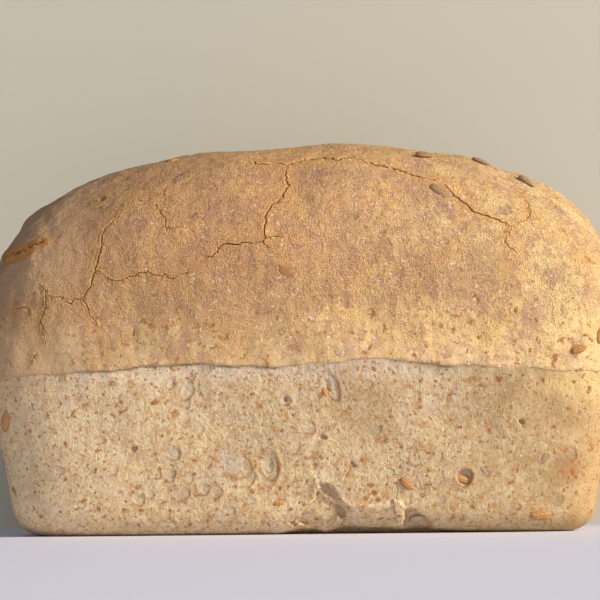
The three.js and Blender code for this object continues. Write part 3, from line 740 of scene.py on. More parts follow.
# %% How the fold moves the points
def fold(points):
    """Lifts the foot and sets the fold back. Also says how much painted shade each point gets in the recesses
    of the fold.
    """
    moved = points.copy()
    along = (points[:, 0] - FOOT_MIDDLE["x"]) / FRONT_SCALE + FOOT_MIDDLE["across"]
    rise = np.interp(along, *np.array(FOOT_RISE).T)
    rise = rise * smooth((FOOT_REACH["back"] - points[:, 1]) / FOOT_REACH["fade"])
    moved[:, 2] += rise * np.clip(1 - points[:, 2] / FOOT_REACH["height"], 0, 1)
    plain = to_frame(moved)
    across, down = plain.T
    # a slow and a quick wobble, so that no edge of the fold looks ruled
    bend = np.stack([np.sin(0.5 * across + 0.7 * down), np.sin(0.6 * across - 0.5 * down + 2)], axis=1)
    spots = plain + 0.5 * bend + 0.2 * np.sin(1.3 * plain[:, ::-1] + 0.8 * plain)
    front = smooth((-38 - points[:, 1]) / 6)

    def area(polygon, soft):
        return smooth(0.5 + edge_distance(polygon, spots) / soft)

    # what is set back, in millimetres: the wedge between the sheets, the lump, and what lies under
    wedge, mouth, nub, gap = area(WEDGE, 4.5), area(MOUTH, 4.0), area(NUB, 3.0), area(RIGHT_GAP, 3.6)
    top_left = np.clip(1.0 - 0.025 * (spots[:, 0] + spots[:, 1] - 816), 0.35, 1.0)
    nub_round = np.hypot((spots[:, 0] - 320) / 17, (spots[:, 1] - 511) / 17)
    slant = np.clip((spots[:, 1] - 506) / 18, 0, 1) ** 0.8 * area(UNDER, 4.0)
    lobe = near_line(LOBE_EDGE, spots, 8.0) * (1 - nub) * (1 - wedge)
    lip = near_line(FLAP_LIP, spots, 3.0) * (1 - wedge)
    flap = area(SMALL_FLAP, 3.0)
    inward = np.maximum(1.7 * wedge * top_left, 2.2 * mouth)
    inward = np.maximum(inward, nub * (0.9 + 1.6 * np.clip(nub_round - 0.35, 0, 1)))
    inward = np.maximum(inward, 0.6 * slant)
    inward = np.maximum(inward, 1.7 * gap) * (1 - flap)
    # the edges: a soft valley above, a sharp crease at the lobe, and lips that stand out
    valley = near_line(SOFT_VALLEY, spots, 3.5)
    crease = near_line(LOBE_EDGE[1:6], spots, 1.3)
    inward = np.maximum(inward, 1.6 * crease) + 0.45 * valley - 0.9 * lobe - 0.7 * lip - 0.9 * flap
    moved[:, 1] += inward * front
    # painted shade in the recesses: the wedge, the mouth, the gap under the flap and the crease at the lobe
    dark = np.max([0.6 * wedge * top_left, 0.8 * mouth, 0.5 * gap, 0.6 * crease], axis=0) * (1 - flap)
    return moved, np.clip(dark * front, 0, 1)


print("the first corner of the wedge is at", seen([WEDGE[0]])[0][0].round(1))


# %% [markdown]
# The loaf is built as two closed shells that meet in the crease at the rim line: the tin's print
# below and the dome above, whose lower edge hangs over it. That is how the real crease looks, and
# it keeps each mesh light. Every point that both need comes from the same rule. The wall swells
# to close the crease in the middle and at both ends, where the dough hung together.

# %% The plain shells
COARSE = 2.3
FOOT_STEPS = BASE_EDGE * (1 - np.cos(np.linspace(0, math.pi / 2, 8)))
TIN_STEPS = np.concatenate([FOOT_STEPS, np.arange(11, RIM_Z - 1, 2.1)])
DOME_STEPS = 54
# the longest side of a triangle, in millimetres, in each part of the two shells
TIN_DETAIL = {
    "front": 1.2, "back": 2.5, "hidden": 8.0, "foot": 0.68, "rim": 0.6, "bubble": 0.68, "crack": 0.34,
}
DOME_DETAIL = {"front": 1.6, "back": 2.9, "hidden": 9.0, "crack": 0.3, "crack_behind": 0.95}
FOLD_AREA = {"left": 274, "right": 445, "top": 474}


def tin_shell():
    rings = [np.zeros((1, 3))]
    for z in TIN_STEPS:
        rings.append(uneven(ring(lambda x: z, tin_plan, COARSE)))
    top = uneven(ring(lambda x: RIM_Z, tin_plan, COARSE))
    rings += [top, top * [0.985, 0.975, 1] + [0, 0, 4.0]]
    rings.append(np.array([[0, 0, RIM_Z + 4.0]]))
    return stack(rings)


def dome_shell():
    lip = uneven(ring(lambda x: RIM_Z + 0 * x, dome_plan, COARSE))
    under = lip * [0.97, 0.96, 1]
    rings = [np.array([[0, 0, RIM_Z + 6.0]]), under + [0, 0, 5.0], under + [0, 0, 0.6]]
    rings += [lip * [0.996, 0.994, 1] - [0, 0, LIP["drop"]], lip + [0, 0, 0.3 - LIP["drop"]]]
    for step in range(1, DOME_STEPS):
        w = math.sin(math.pi / 2 * step / DOME_STEPS)
        rings.append(uneven(ring(lambda x: RIM_Z + w * (crest_z(x) - RIM_Z), dome_plan, COARSE)))
    rings.append(uneven(np.array([[0, 0, crest_z(0.0)]])))
    return stack(rings)


def near_any(tree, points, reach):
    return np.array([tree.find(p)[2] < reach for p in points])


def tin_size(p):
    x, y, z = p.T
    across, down = to_frame(p).T
    size = np.where(y < -20, TIN_DETAIL["front"], TIN_DETAIL["back"])
    size = np.where((z < 0.6) & (np.abs(y) < 40), TIN_DETAIL["hidden"], size)
    foot = (y < -30) & (across > FOLD_AREA["left"]) & (across < FOLD_AREA["right"])
    size = np.where(foot & (down > FOLD_AREA["top"]), TIN_DETAIL["foot"], size)
    at_rim = np.abs(z - RIM_Z - rim_wander(x, y) + 1) < 1.3
    size = np.where((y < -50) & at_rim, TIN_DETAIL["rim"], size)
    size = np.where(z > RIM_Z + 3.5, TIN_DETAIL["hidden"], size)
    close = np.zeros(len(p), dtype=bool)
    for middle, _, _, _, (length, _, _, _) in zip(*tin_bubbles):
        if middle[1] < -40:
            close |= np.sum((p - middle) ** 2, axis=1) < (length * 0.62) ** 2
    size = np.where(close & (y < -40), TIN_DETAIL["bubble"], size)
    return np.where((y < 0) & near_any(crack_tree, p, 0.55), TIN_DETAIL["crack"], size)


def dome_size(p):
    x, y, z = p.T
    size = np.where(y < 4, DOME_DETAIL["front"], DOME_DETAIL["back"])
    under = (z < RIM_Z + 9) & (np.abs(y) < 54) & (np.abs(x) < 108)
    size = np.where(under, DOME_DETAIL["hidden"], size)
    by_crack = np.where(y < 6, DOME_DETAIL["crack"], DOME_DETAIL["crack_behind"])
    return np.where(near_any(crack_tree, p, 0.6), by_crack, size)


tin_points, tin_faces = refine(*tin_shell(), tin_size, 4)
dome_points, dome_faces = refine(*dome_shell(), dome_size, 4)
print("tin's print", len(tin_faces), "triangles, dome", len(dome_faces), "triangles")


# %% Which way the skin faces
def vertex_normals(points, faces):
    a, b, c = points[faces[:, 0]], points[faces[:, 1]], points[faces[:, 2]]
    flat = np.cross(b - a, c - a)
    normals = np.zeros_like(points)
    for k in range(3):
        np.add.at(normals, faces[:, k], flat)
    return unit(normals)


up = vertex_normals(dome_points, dome_faces)[:, 2] > 0.9
print(int(up.sum()), "of", len(up), "points of the dome face up")


# %% The torn strip at the left end, and the crease at the rim
TEAR = [(4, 256), (15, 248), (30, 243.5), (45, 238.5), (49, 241), (48, 246.5), (38, 250.5), (31, 259),
        (20, 262.5), (9, 267)]
TEAR_SLIT = [(5, 258.3), (12, 256), (18, 254), (27, 250.6), (31, 247.5), (38, 245.4), (46, 241)]
# where along the front the crease at the rim shows at all, and where in between it is closed
CREASE = {"open": (-88.0, 58.0), "closed": (-9.0, 39.0), "reach": 2.6, "fill": 0.75}


def tear(points):
    """How far the torn strip moves points outwards, how much each lies in it, and in its slit."""
    spots = to_frame(points)
    spots = spots + 0.6 * np.sin(1.1 * spots[:, ::-1] + 0.5)
    edge = edge_distance(TEAR, spots)
    front = points[:, 1] < 0
    within = smooth(0.5 + edge / 1.8) * front
    curl = np.exp(-(((edge + 0.4) / 1.5) ** 2)) * front
    slit = near_line(TEAR_SLIT, spots, 1.0) * front
    return 0.5 * curl + 0.4 * within - 1.2 * slit, within, slit


def crease_fill(points):
    """How far the wall swells to close the crease, and how much painted shade each point gets along its line.
    """
    x, y, z = points.T
    side = np.where(y < 0, x, -x)
    height = z - RIM_Z - rim_wander(x, y)
    (left, right), (closed_left, closed_right) = CREASE["open"], CREASE["closed"]
    shut = smooth((side - closed_left) / 8 + 0.5) * smooth((closed_right - side) / 8 + 0.5)
    ends = smooth(np.maximum(side - right, left - side) / 14 + 0.5)
    patchy = 0.6 + 0.2 * np.sin(0.23 * x + 2.0) + 0.12 * np.sin(0.71 * x)
    fill = np.clip(np.maximum(np.maximum(shut, ends), patchy), 0, 1)
    # painted shade: a thin dark line along the crease, fainter where the crease is closed
    line = np.exp(-(((height + 0.75) / 0.5) ** 2)) * (0.7 + 0.3 * np.sin(0.4 * x))
    line *= (1 - 0.7 * shut) * (1 - 0.95 * ends)
    reach = np.exp(-((np.minimum(height + 0.4, 0) / CREASE["reach"]) ** 2))
    return CREASE["fill"] * fill * reach * (height < 3), line


print("the torn strip is about", round((TEAR[4][0] - TEAR[0][0]) * FRONT_SCALE), "mm long")


# %% Stamping bubbles, craters and the fold
bran = chips(tin_points)
push, tin_window, tin_rim, tin_shade = stamp(tin_points, tin_bubbles)
swell, crease_painted_shade = crease_fill(tin_points)
push += swell
tin_points = tin_points + vertex_normals(tin_points, tin_faces) * push[:, None]
tin_points, fold_painted_shade = fold(tin_points)
push, dome_window, _, dome_shade = stamp(dome_points, dome_craters)
torn_push, torn, slit = tear(dome_points)
dome_points = dome_points + vertex_normals(dome_points, dome_faces) * (push + torn_push)[:, None]


def shell_object(name, points, faces, attributes):
    mesh = new_mesh(name, points, faces)
    mesh.shade_smooth()
    for label, values in attributes.items():
        write_attribute(mesh, label, values)
    shell = bpy.data.objects.new(name, mesh)
    bpy.context.scene.collection.objects.link(shell)
    return shell


tin_print = shell_object("tin_print", tin_points, tin_faces, {
    "window": tin_window, "rim": tin_rim, "shade": tin_shade, "fold": fold_painted_shade, "bran": bran,
    "crease": crease_painted_shade,
})
dome = shell_object("dome", dome_points, dome_faces, {
    "window": dome_window, "shade": dome_shade, "torn": torn, "slit": slit,
})
print("the fold is up to", round(float(fold_painted_shade.max()), 2), "dark, and", int(torn.sum()), "points are torn")


# %% [markdown]
# Nodes are wired the same way in every tree: a node is put down with its settings, and each of
# its inputs is given a value or the output of another node. Two small helpers do that, so the
# trees below read as a list of steps.

# %% Helpers for node trees
FLOAT, GEOMETRY, OBJECT = "NodeSocketFloat", "NodeSocketGeometry", "NodeSocketObject"
MATERIAL, INTEGER, VECTOR = "NodeSocketMaterial", "NodeSocketInt", "NodeSocketVector"


def put(tree, kind, inputs=None, **settings):
    """Adds a node, sets it up, and wires or fills its inputs. Returns the node."""
    node = tree.nodes.new(kind)
    for name, value in settings.items():
        setattr(node, name, value)
    for name, value in (inputs or {}).items():
        if isinstance(value, bpy.types.NodeSocket):
            tree.links.new(value, node.inputs[name])
        else:
            node.inputs[name].default_value = value
    return node


def calc(tree, operation, *values):
    return put(tree, "ShaderNodeMath", dict(enumerate(values)), operation=operation).outputs[0]


def times(tree, *values):
    product = values[0]
    for value in values[1:]:
        product = calc(tree, "MULTIPLY", product, value)
    return product


def vector(tree, operation, *values):
    return put(tree, "ShaderNodeVectorMath", dict(enumerate(values)), operation=operation).outputs[0]


def scaled(tree, place, by):
    return put(tree, "ShaderNodeVectorMath", {0: place, "Scale": by}, operation="SCALE").outputs[0]


def ramp(tree, value, low, high, start=0.0, end=1.0, style="SMOOTHSTEP"):
    """A value that goes from start to end while the input goes from low to high."""
    inputs = {"Value": value, "From Min": low, "From Max": high, "To Min": start, "To Max": end}
    return put(tree, "ShaderNodeMapRange", inputs, interpolation_type=style).outputs["Result"]


def new_tree(name, kind, inputs, outputs):
    """A node group with named sockets: each input is a kind and a value."""
    tree = bpy.data.node_groups.new(name, kind)
    for label, (socket_kind, value) in inputs.items():
        socket = tree.interface.new_socket(label, in_out="INPUT", socket_type=socket_kind)
        if value is not None:
            socket.default_value = value
    for label, socket_kind in outputs.items():
        tree.interface.new_socket(label, in_out="OUTPUT", socket_type=socket_kind)
    return tree, tree.nodes.new("NodeGroupInput").outputs, tree.nodes.new("NodeGroupOutput").inputs


print("the trees work in millimetres, and one is", MM, "in the scene")


# %% Helpers for Geometry Nodes trees
def named(tree, name, kind):
    return put(tree, "GeometryNodeInputNamedAttribute", {"Name": name}, data_type=kind).outputs[0]


def store(tree, geometry, name, value, domain="POINT"):
    inputs = {"Geometry": geometry, "Name": name, "Value": value}
    node = put(tree, "GeometryNodeStoreNamedAttribute", inputs, data_type="FLOAT", domain=domain)
    return node.outputs[0]


def finish_tree(tree, geometry, given, made):
    """Makes the geometry real, gives it the tree's material and hands it out."""
    joined = put(tree, "GeometryNodeRealizeInstances", {"Geometry": geometry}).outputs[0]
    inputs = {"Geometry": joined, "Material": given["Material"]}
    tree.links.new(put(tree, "GeometryNodeSetMaterial", inputs).outputs[0], made["Geometry"])
    print("the tree", tree.name, "has", len(tree.nodes), "nodes")
    return tree


def run_tree(piece, tree, values):
    """Puts a Geometry Nodes tree on an object, fills its named inputs and makes the mesh plain."""
    modifier = piece.modifiers.new(tree.name, "NODES")
    modifier.node_group = tree
    for item in tree.interface.items_tree:
        if item.in_out == "INPUT" and item.name in values:
            modifier[item.identifier] = values[item.name]
    piece.update_tag()
    bpy.context.view_layer.update()
    evaluated = piece.evaluated_get(bpy.context.evaluated_depsgraph_get())
    mesh = bpy.data.meshes.new_from_object(evaluated)
    mesh.name = piece.name
    piece.modifiers.clear()
    piece.data = mesh
    return piece


# %% [markdown]
# The relief of the crust is the same work on both shells, so it is one Geometry Nodes tree. It
# opens a groove along the crack lines, raises a thin lip on both sides of it where the crust
# curled, and roughens the skin with three sizes of noise: broad pillows, wrinkles that run down
# the sides, and fine grain. It also stores how far from a crack each point lies, for the colours.

# %% A tree that roughens and cracks the crust
def near_cracks(tree, given, place):
    """How far the nearest crack is, in millimetres, and how wide that crack is there."""
    lines_in = put(tree, "GeometryNodeObjectInfo", {"Object": given["Cracks"]}).outputs["Geometry"]
    at = {"Geometry": lines_in, "Sample Position": place}
    near = put(tree, "GeometryNodeProximity", at, target_element="EDGES").outputs["Distance"]
    index = put(tree, "GeometryNodeSampleNearest", at).outputs[0]
    sample = {"Geometry": lines_in, "Value": named(tree, "wide", "FLOAT"), "Index": index}
    wide = put(tree, "GeometryNodeSampleIndex", sample).outputs[0]
    return calc(tree, "MULTIPLY", near, 1 / MM), wide


def make_relief_tree():
    inputs = {
        "Geometry": (GEOMETRY, None), "Cracks": (OBJECT, None), "Crack Depth": (FLOAT, 1.0),
        "Lip Height": (FLOAT, 0.2), "Pillow Height": (FLOAT, 0.5), "Wrinkle Height": (FLOAT, 0.3),
        "Grain Height": (FLOAT, 0.2), "Wrinkle Stretch": (FLOAT, 0.3), "Seed": (FLOAT, 0.0),
        "Material": (MATERIAL, None),
    }
    tree, given, made = new_tree("crust_relief", "GeometryNodeTree", inputs, {"Geometry": GEOMETRY})
    place = put(tree, "GeometryNodeInputPosition").outputs[0]
    millimetres = scaled(tree, place, 1 / MM)
    distance, wide = near_cracks(tree, given, place)
    across = calc(tree, "DIVIDE", distance, wide)
    groove = ramp(tree, across, 0.15, 1.0, 1.0, 0.0)
    lip = times(tree, ramp(tree, across, 0.9, 1.5), ramp(tree, across, 1.5, 4.0, 1.0, 0.0))
    depth = times(tree, groove, given["Crack Depth"], wide)
    height = calc(tree, "SUBTRACT", times(tree, lip, given["Lip Height"]), depth)

    def noise(scale, detail, stretch=None):
        where = millimetres
        if stretch is not None:
            scale_by = put(tree, "ShaderNodeCombineXYZ", {"X": 1.0, "Y": 1.0, "Z": stretch}).outputs[0]
            where = vector(tree, "MULTIPLY", millimetres, scale_by)
        sockets = {"Vector": where, "W": given["Seed"], "Scale": scale, "Detail": detail}
        fine = put(tree, "ShaderNodeTexNoise", sockets, noise_dimensions="4D")
        return calc(tree, "SUBTRACT", fine.outputs[0], 0.5)

    for label, value in (
        ("Pillow Height", noise(0.055, 1.0)),
        ("Wrinkle Height", noise(0.22, 2.0, given["Wrinkle Stretch"])),
        ("Grain Height", noise(0.75, 2.0)),
    ):
        height = calc(tree, "ADD", height, times(tree, value, given[label]))
    above = ramp(tree, put(tree, "ShaderNodeSeparateXYZ", {0: millimetres}).outputs["Z"], 0.4, 5.0)
    normal = put(tree, "GeometryNodeInputNormal").outputs[0]
    offset = scaled(tree, normal, times(tree, height, above, MM))
    marked = store(tree, given["Geometry"], "crack", calc(tree, "MINIMUM", across, 9.0))
    marked = store(tree, marked, "warm", ramp(tree, distance, 0.6, 7.0, 1.0, 0.0))
    shaped = put(tree, "GeometryNodeSetPosition", {"Geometry": marked, "Offset": offset}).outputs[0]
    return finish_tree(tree, shaped, given, made)


relief_tree = make_relief_tree()


# %% [markdown]
# The colours come next. Baked dough is matte and made of many small tones: every material here
# is built from the same few effects, so they are node groups. Grain is the sandy speckle of dry
# crust, haze is the soft patchiness of flour and browning, and bran makes scattered flecks.

# %% Shader groups: grain, haze and stains
def noise_value(tree, where, scale, detail, rough=0.5):
    inputs = {"Vector": where, "Scale": scale, "Detail": detail, "Roughness": rough}
    return put(tree, "ShaderNodeTexNoise", inputs).outputs[0]


def make_speckle_group():
    """Fine grain and broad haze, each between 0 and 1, on coordinates in millimetres."""
    inputs = {"Vector": (VECTOR, None), "Grain Size": (FLOAT, 0.6), "Haze Size": (FLOAT, 14.0)}
    tree, given, made = new_tree("speckle", "ShaderNodeTree", inputs, {"Grain": FLOAT, "Haze": FLOAT})
    fine = noise_value(tree, given["Vector"], calc(tree, "DIVIDE", 1.0, given["Grain Size"]), 2.0, 0.6)
    fine = times(tree, ramp(tree, fine, 0.32, 0.68, style="LINEAR"), 0.5)
    cells = {"Vector": given["Vector"], "Scale": calc(tree, "DIVIDE", 0.75, given["Grain Size"])}
    crumbs = put(tree, "ShaderNodeTexVoronoi", cells, feature="F1").outputs["Distance"]
    crumbs = ramp(tree, crumbs, 0.1, 0.7, 1.0, 0.0)
    broad = noise_value(tree, given["Vector"], calc(tree, "DIVIDE", 1.0, given["Haze Size"]), 4.0, 0.65)
    grain = calc(tree, "MULTIPLY_ADD", crumbs, 0.5, fine)
    tree.links.new(ramp(tree, grain, 0.15, 0.85, style="LINEAR"), made["Grain"])
    tree.links.new(ramp(tree, broad, 0.36, 0.64), made["Haze"])
    return tree


def make_stain_group():
    """Soft ragged stains, such as bran leaves in dough: their size, their share and their offset."""
    inputs = {
        "Vector": (VECTOR, None), "Size": (FLOAT, 2.0), "Share": (FLOAT, 0.1), "Soft": (FLOAT, 0.06),
        "Offset": (FLOAT, 0.0),
    }
    tree, given, made = new_tree("stain", "ShaderNodeTree", inputs, {"Mask": FLOAT})
    apart = {"X": given["Offset"], "Y": 0.0, "Z": given["Offset"]}
    shift = put(tree, "ShaderNodeCombineXYZ", apart).outputs[0]
    where = vector(tree, "ADD", given["Vector"], shift)
    value = noise_value(tree, where, calc(tree, "DIVIDE", 0.7, given["Size"]), 4.0, 0.62)
    level = calc(tree, "SUBTRACT", 0.71, times(tree, given["Share"], 0.75))
    over = calc(tree, "DIVIDE", calc(tree, "SUBTRACT", value, level), given["Soft"])
    tree.links.new(ramp(tree, over, 0.0, 1.0), made["Mask"])
    return tree


speckle_group = make_speckle_group()
stain_group = make_stain_group()
print("the groups have", len(speckle_group.nodes), "and", len(stain_group.nodes), "nodes")


# %% Helpers for materials
def colour(red, green, blue):
    """A colour given as it shows on a screen, from 0 to 255, turned into light values."""
    def light(value):
        value = value / 255
        return value / 12.92 if value <= 0.04045 else ((value + 0.055) / 1.055) ** 2.4
    return (light(red), light(green), light(blue), 1.0)


def blend(tree, factor, first, second):
    return put(tree, "ShaderNodeMix", {0: factor, 6: first, 7: second}, data_type="RGBA").outputs[2]


def new_material(name, roughness):
    material = bpy.data.materials.new(name)
    material.use_nodes = True
    tree = material.node_tree
    shader = tree.nodes["Principled BSDF"]
    shader.inputs["Roughness"].default_value = roughness
    shader.inputs["Specular IOR Level"].default_value = 0.25
    return material, tree, shader


def object_millimetres(tree):
    return scaled(tree, put(tree, "ShaderNodeTexCoord").outputs["Object"], 1 / MM)


def stored(tree, name):
    return put(tree, "ShaderNodeAttribute", attribute_name=name, attribute_type="GEOMETRY").outputs["Fac"]


def use_group(tree, group, inputs):
    return put(tree, "ShaderNodeGroup", inputs, node_tree=group).outputs


def roughen(tree, shader, height, distance):
    bump = put(tree, "ShaderNodeBump", {"Height": height, "Distance": distance * MM, "Strength": 1.0})
    tree.links.new(bump.outputs[0], shader.inputs["Normal"])


print("the middle grey of a screen is", round(colour(128, 128, 128)[0], 3), "as light")


# %% [markdown]
# The dome's crust is dry and golden brown, sandy with flour, a little mauve where it browned
# most, and paler and yellower towards the rim, where bran shows through. It is painted darker
# towards the left end and lighter towards the right, as painted shade and painted light from the
# window at the right. The bottoms of its cracks are painted dark, as shade. The tin's print is
# cream, streaked by the stretched dough, full of brown bran, and grey and glassy in its bubbles,
# with a brown patch where a bubble burst and a few patches of painted shade. Shade in its fold
# and crease is painted too, and so is light at its right corner and left end.
# Both are painted in the same way: one tone is laid over the last, where a mask says so. Many of
# the masks are stains of a given size and share, so those are kept in a table with a name each.

# %% How a crust is painted
def stretched(tree, where, x, y, z):
    return vector(tree, "MULTIPLY", where, (x, y, z))


def speckle(tree, where, grain, haze):
    return use_group(tree, speckle_group, {"Vector": where, "Grain Size": grain, "Haze Size": haze})


def crust_painter(tree, where, tones, stain_table, first):
    """Two short hands: stain(name) makes a mask, and over(name, masks) lays a tone over the last."""
    def stain(name):
        size, share, offset, soft, stretch = stain_table[name]
        place = where if stretch == 1 else stretched(tree, where, 1, 1, stretch)
        values = {"Vector": place, "Size": size, "Share": share, "Offset": offset, "Soft": soft}
        return use_group(tree, stain_group, values)["Mask"]

    laid = [first]

    def over(tone, *masks):
        tone = colour(*tones[tone]) if isinstance(tone, str) else tone
        laid.append(blend(tree, times(tree, *masks), laid[-1], tone))
        return laid[-1]

    return stain, over


def crack_tones(tree, over):
    """The torn edge of a crack is golden, and its bottom gets painted shade, more so in some stretches."""
    across = stored(tree, "crack")
    stretches = ramp(tree, noise_value(tree, object_millimetres(tree), 0.22, 2.0), 0.4, 0.6, 0.6, 1.0)
    over("crack_edge", ramp(tree, across, 1.2, 3.6, 0.45, 0.0))
    # painted shade at the bottom of the crack
    return over("crack_bottom", ramp(tree, across, 0.55, 1.25, 0.9, 0.0), stretches)


print("a crust is painted from", len(speckle_group.nodes) + len(stain_group.nodes), "nodes in two groups")


# %% Tones and stains of the dome
DOME_TONES = {
    # red, green and blue as they show on a screen, from 0 to 255
    "crust": (226, 173, 115), "crust_dull": (212, 157, 107), "pale": (255, 226, 158),
    "patch": (190, 138, 102), "golden": (240, 188, 112), "low": (210, 176, 116),
    "low_painted_light": (255, 214, 146), "drip": (244, 208, 134), "rim": (230, 198, 152),
    "mauve": (186, 134, 110), "dull": (186, 146, 122), "warm": (230, 168, 94),
    "crest": (222, 168, 92), "sand": (172, 120, 82), "flour": (252, 220, 186),
    "pit": (146, 96, 62), "bran": (172, 112, 64), "speck": (124, 80, 50),
    "glint": (255, 232, 208), "window": (176, 146, 116), "shade": (110, 72, 42),
    "baked": (142, 112, 86), "floured": (206, 170, 134), "left_rim": (190, 156, 120),
    "film": (226, 156, 84), "film_dull": (176, 120, 66), "film_grain": (130, 86, 46),
    "slit": (70, 40, 20), "crack_edge": (238, 182, 108), "crack_bottom": (104, 64, 32),
}
DOME_STAINS = {
    # size in millimetres, share of the crust, offset of the pattern, softness, stretch upwards
    "patch": (14.0, 0.38, 160.0, 0.2, 1), "golden": (9.0, 0.36, 140.0, 0.2, 0.45),
    "drip": (4.0, 0.3, 60.0, 0.15, 0.3), "mauve": (2.4, 0.32, 10.0, 0.12, 1),
    "dull": (8.0, 0.24, 90.0, 0.2, 1), "bran": (2.1, 0.2, 30.0, 0.1, 1),
    "speck": (0.8, 0.11, 25.0, 0.06, 1), "glint": (1.0, 0.16, 75.0, 0.06, 1),
}
print(len(DOME_TONES), "tones and", len(DOME_STAINS), "kinds of stain on the dome")


# %% The dome's crust
def make_dome_crust():
    material, tree, shader = new_material("dome_crust", 0.92)
    where = object_millimetres(tree)
    fine = speckle(tree, where, 0.38, 13.0)
    sand = speckle(tree, where, 1.0, 36.0)
    axes = put(tree, "ShaderNodeSeparateXYZ", {0: where}).outputs
    wavy = calc(tree, "ADD", axes["Z"], times(tree, fine["Haze"], -14.0))
    tones = {name: colour(*tone) for name, tone in DOME_TONES.items()}
    first = blend(tree, sand["Haze"], tones["crust"], tones["crust_dull"])
    stain, over = crust_painter(tree, where, DOME_TONES, DOME_STAINS, first)

    # broad changes from the rim to the crown, and painted light and shade from end to end
    hazy = ramp(tree, fine["Haze"], 0.0, 1.0, 1.0, 0.65)
    # painted light: paler and brighter towards the right end, where the window light falls
    pale = times(tree, ramp(tree, axes["X"], -10.0, 92.0, style="LINEAR"), hazy)
    over("pale", pale, 0.95)
    over("patch", stain("patch"), 0.6)
    over("golden", stain("golden"), 0.65)
    low = ramp(tree, wavy, RIM_Z - 10, RIM_Z + 36, 1.0, 0.0)
    # the low zone, in a lit copy of its tone towards the right end, as painted light
    over(blend(tree, pale, tones["low"], tones["low_painted_light"]), low, 0.8)
    over("drip", stain("drip"), low, 0.65)
    over("rim", ramp(tree, wavy, RIM_Z - 12, RIM_Z + 5, 1.0, 0.0), 0.6)

    # patches where it browned, and warm tones by the cracks and on the crest
    clusters = ramp(tree, fine["Haze"], 0.0, 1.0, 0.35, 1.0)
    mauve = stain("mauve")
    over("mauve", mauve, clusters, 0.6)
    over("dull", stain("dull"), 0.6)
    by_cracks = stored(tree, "warm")
    over("warm", by_cracks, ramp(tree, sand["Grain"], 0.0, 1.0, 0.4, 0.9, "LINEAR"), 0.75)
    over("crest", ramp(tree, axes["Z"], CROWN_Z - 10, CROWN_Z - 3), 0.5)

    # the sandy grain, flour in it, and bran
    sandy = ramp(tree, low, 0.2, 1.0, 1.0, 0.3)
    over("sand", sand["Grain"], sandy, 0.28)
    over("flour", ramp(tree, fine["Grain"], 0.5, 1.0), sandy, 0.5)
    over("pit", ramp(tree, fine["Grain"], 0.0, 0.4, 0.45, 0.0), sandy)
    over("bran", stain("bran"), ramp(tree, low, 0.0, 0.7, 0.1, 1.0), 0.9)
    over("speck", stain("speck"), 0.6)
    over("glint", stain("glint"), clusters, 0.7)
    over("window", stored(tree, "window"), 0.7)
    over("shade", stored(tree, "shade"), 0.7)

    # the left end: painted shade over it, flour and painted light at its shoulder, and with hardly a line at
    # its rim
    # painted shade: darker towards the left end, away from the window light
    over("baked", ramp(tree, axes["X"], 20.0, -115.0, style="LINEAR"), 0.48)
    # flour at the shoulder, painted lighter as well, as painted light where the left end gets little light
    shoulder = times(tree, ramp(tree, axes["X"], -66.0, -100.0), ramp(tree, axes["Z"], 70.0, 98.0))
    over("floured", shoulder, ramp(tree, by_cracks, 0.0, 0.7, 1.0, 0.3), 0.55)
    left_end = ramp(tree, axes["X"], -74.0, -100.0)
    over("left_rim", left_end, ramp(tree, wavy, RIM_Z - 8, RIM_Z + 14, 1.0, 0.0), 0.6)

    # the torn strip and the cracks
    film = blend(tree, sand["Haze"], tones["film"], tones["film_dull"])
    film = blend(tree, times(tree, fine["Grain"], 0.4), film, tones["film_grain"])
    over(film, stored(tree, "torn"), 0.95)
    # painted shade in the slit of the torn strip
    over("slit", stored(tree, "slit"), 0.9)
    tree.links.new(crack_tones(tree, over), shader.inputs["Base Color"])
    relief = calc(tree, "ADD", times(tree, fine["Grain"], 1.4), times(tree, sand["Grain"], 0.8))
    relief = times(tree, calc(tree, "ADD", relief, times(tree, mauve, -1.2)), sandy)
    roughen(tree, shader, relief, 0.22)
    return material


dome_crust = make_dome_crust()
print("the dome's crust has", len(dome_crust.node_tree.nodes), "nodes")


# %% Tones and stains of the tin's print
TIN_TONES = {
    # red, green and blue as they show on a screen, from 0 to 255
    "cream": (219, 195, 148), "cream_dull": (210, 189, 154), "yellow": (212, 178, 116),
    "tan": (188, 144, 98), "grey": (216, 200, 180), "fibre": (228, 208, 176),
    "fibre_gap": (176, 138, 100), "pit": (180, 138, 98), "halo": (180, 126, 72),
    "whitish": (226, 206, 182), "whitish_right": (236, 206, 150), "browned": (166, 136, 90),
    "right_edge": (188, 146, 88), "golden": (244, 206, 142), "left_light": (232, 208, 170),
    "left_rim": (184, 148, 112), "bruise": (164, 130, 90), "chip_edge": (192, 142, 90),
    "chip": (150, 92, 48), "bran": (154, 98, 54), "speck": (116, 74, 44),
    "flour": (252, 240, 218), "glass": (190, 174, 150), "glass_right": (150, 130, 104),
    "ring": (196, 138, 84), "shade": (132, 94, 60), "fold": (150, 120, 92),
    "crease": (112, 82, 54), "crack_edge": (232, 206, 164), "crack_bottom": (96, 66, 40),
}
TIN_STAINS = {
    # size in millimetres, share of the crust, offset of the pattern, softness, stretch upwards
    "yellow": (5.0, 0.3, 15.0, 0.2, 1), "tan": (3.0, 0.34, 45.0, 0.2, 1),
    "grey": (4.0, 0.2, 70.0, 0.16, 1), "halo": (2.2, 0.24, 5.0, 0.16, 1),
    "whitish": (4.0, 0.5, 200.0, 0.2, 1), "browned": (7.0, 0.42, 120.0, 0.3, 1),
    "bran": (1.2, 0.19, 33.0, 0.1, 1), "speck": (0.9, 0.14, 51.0, 0.08, 1),
    "flour": (0.8, 0.1, 21.0, 0.08, 1),
}
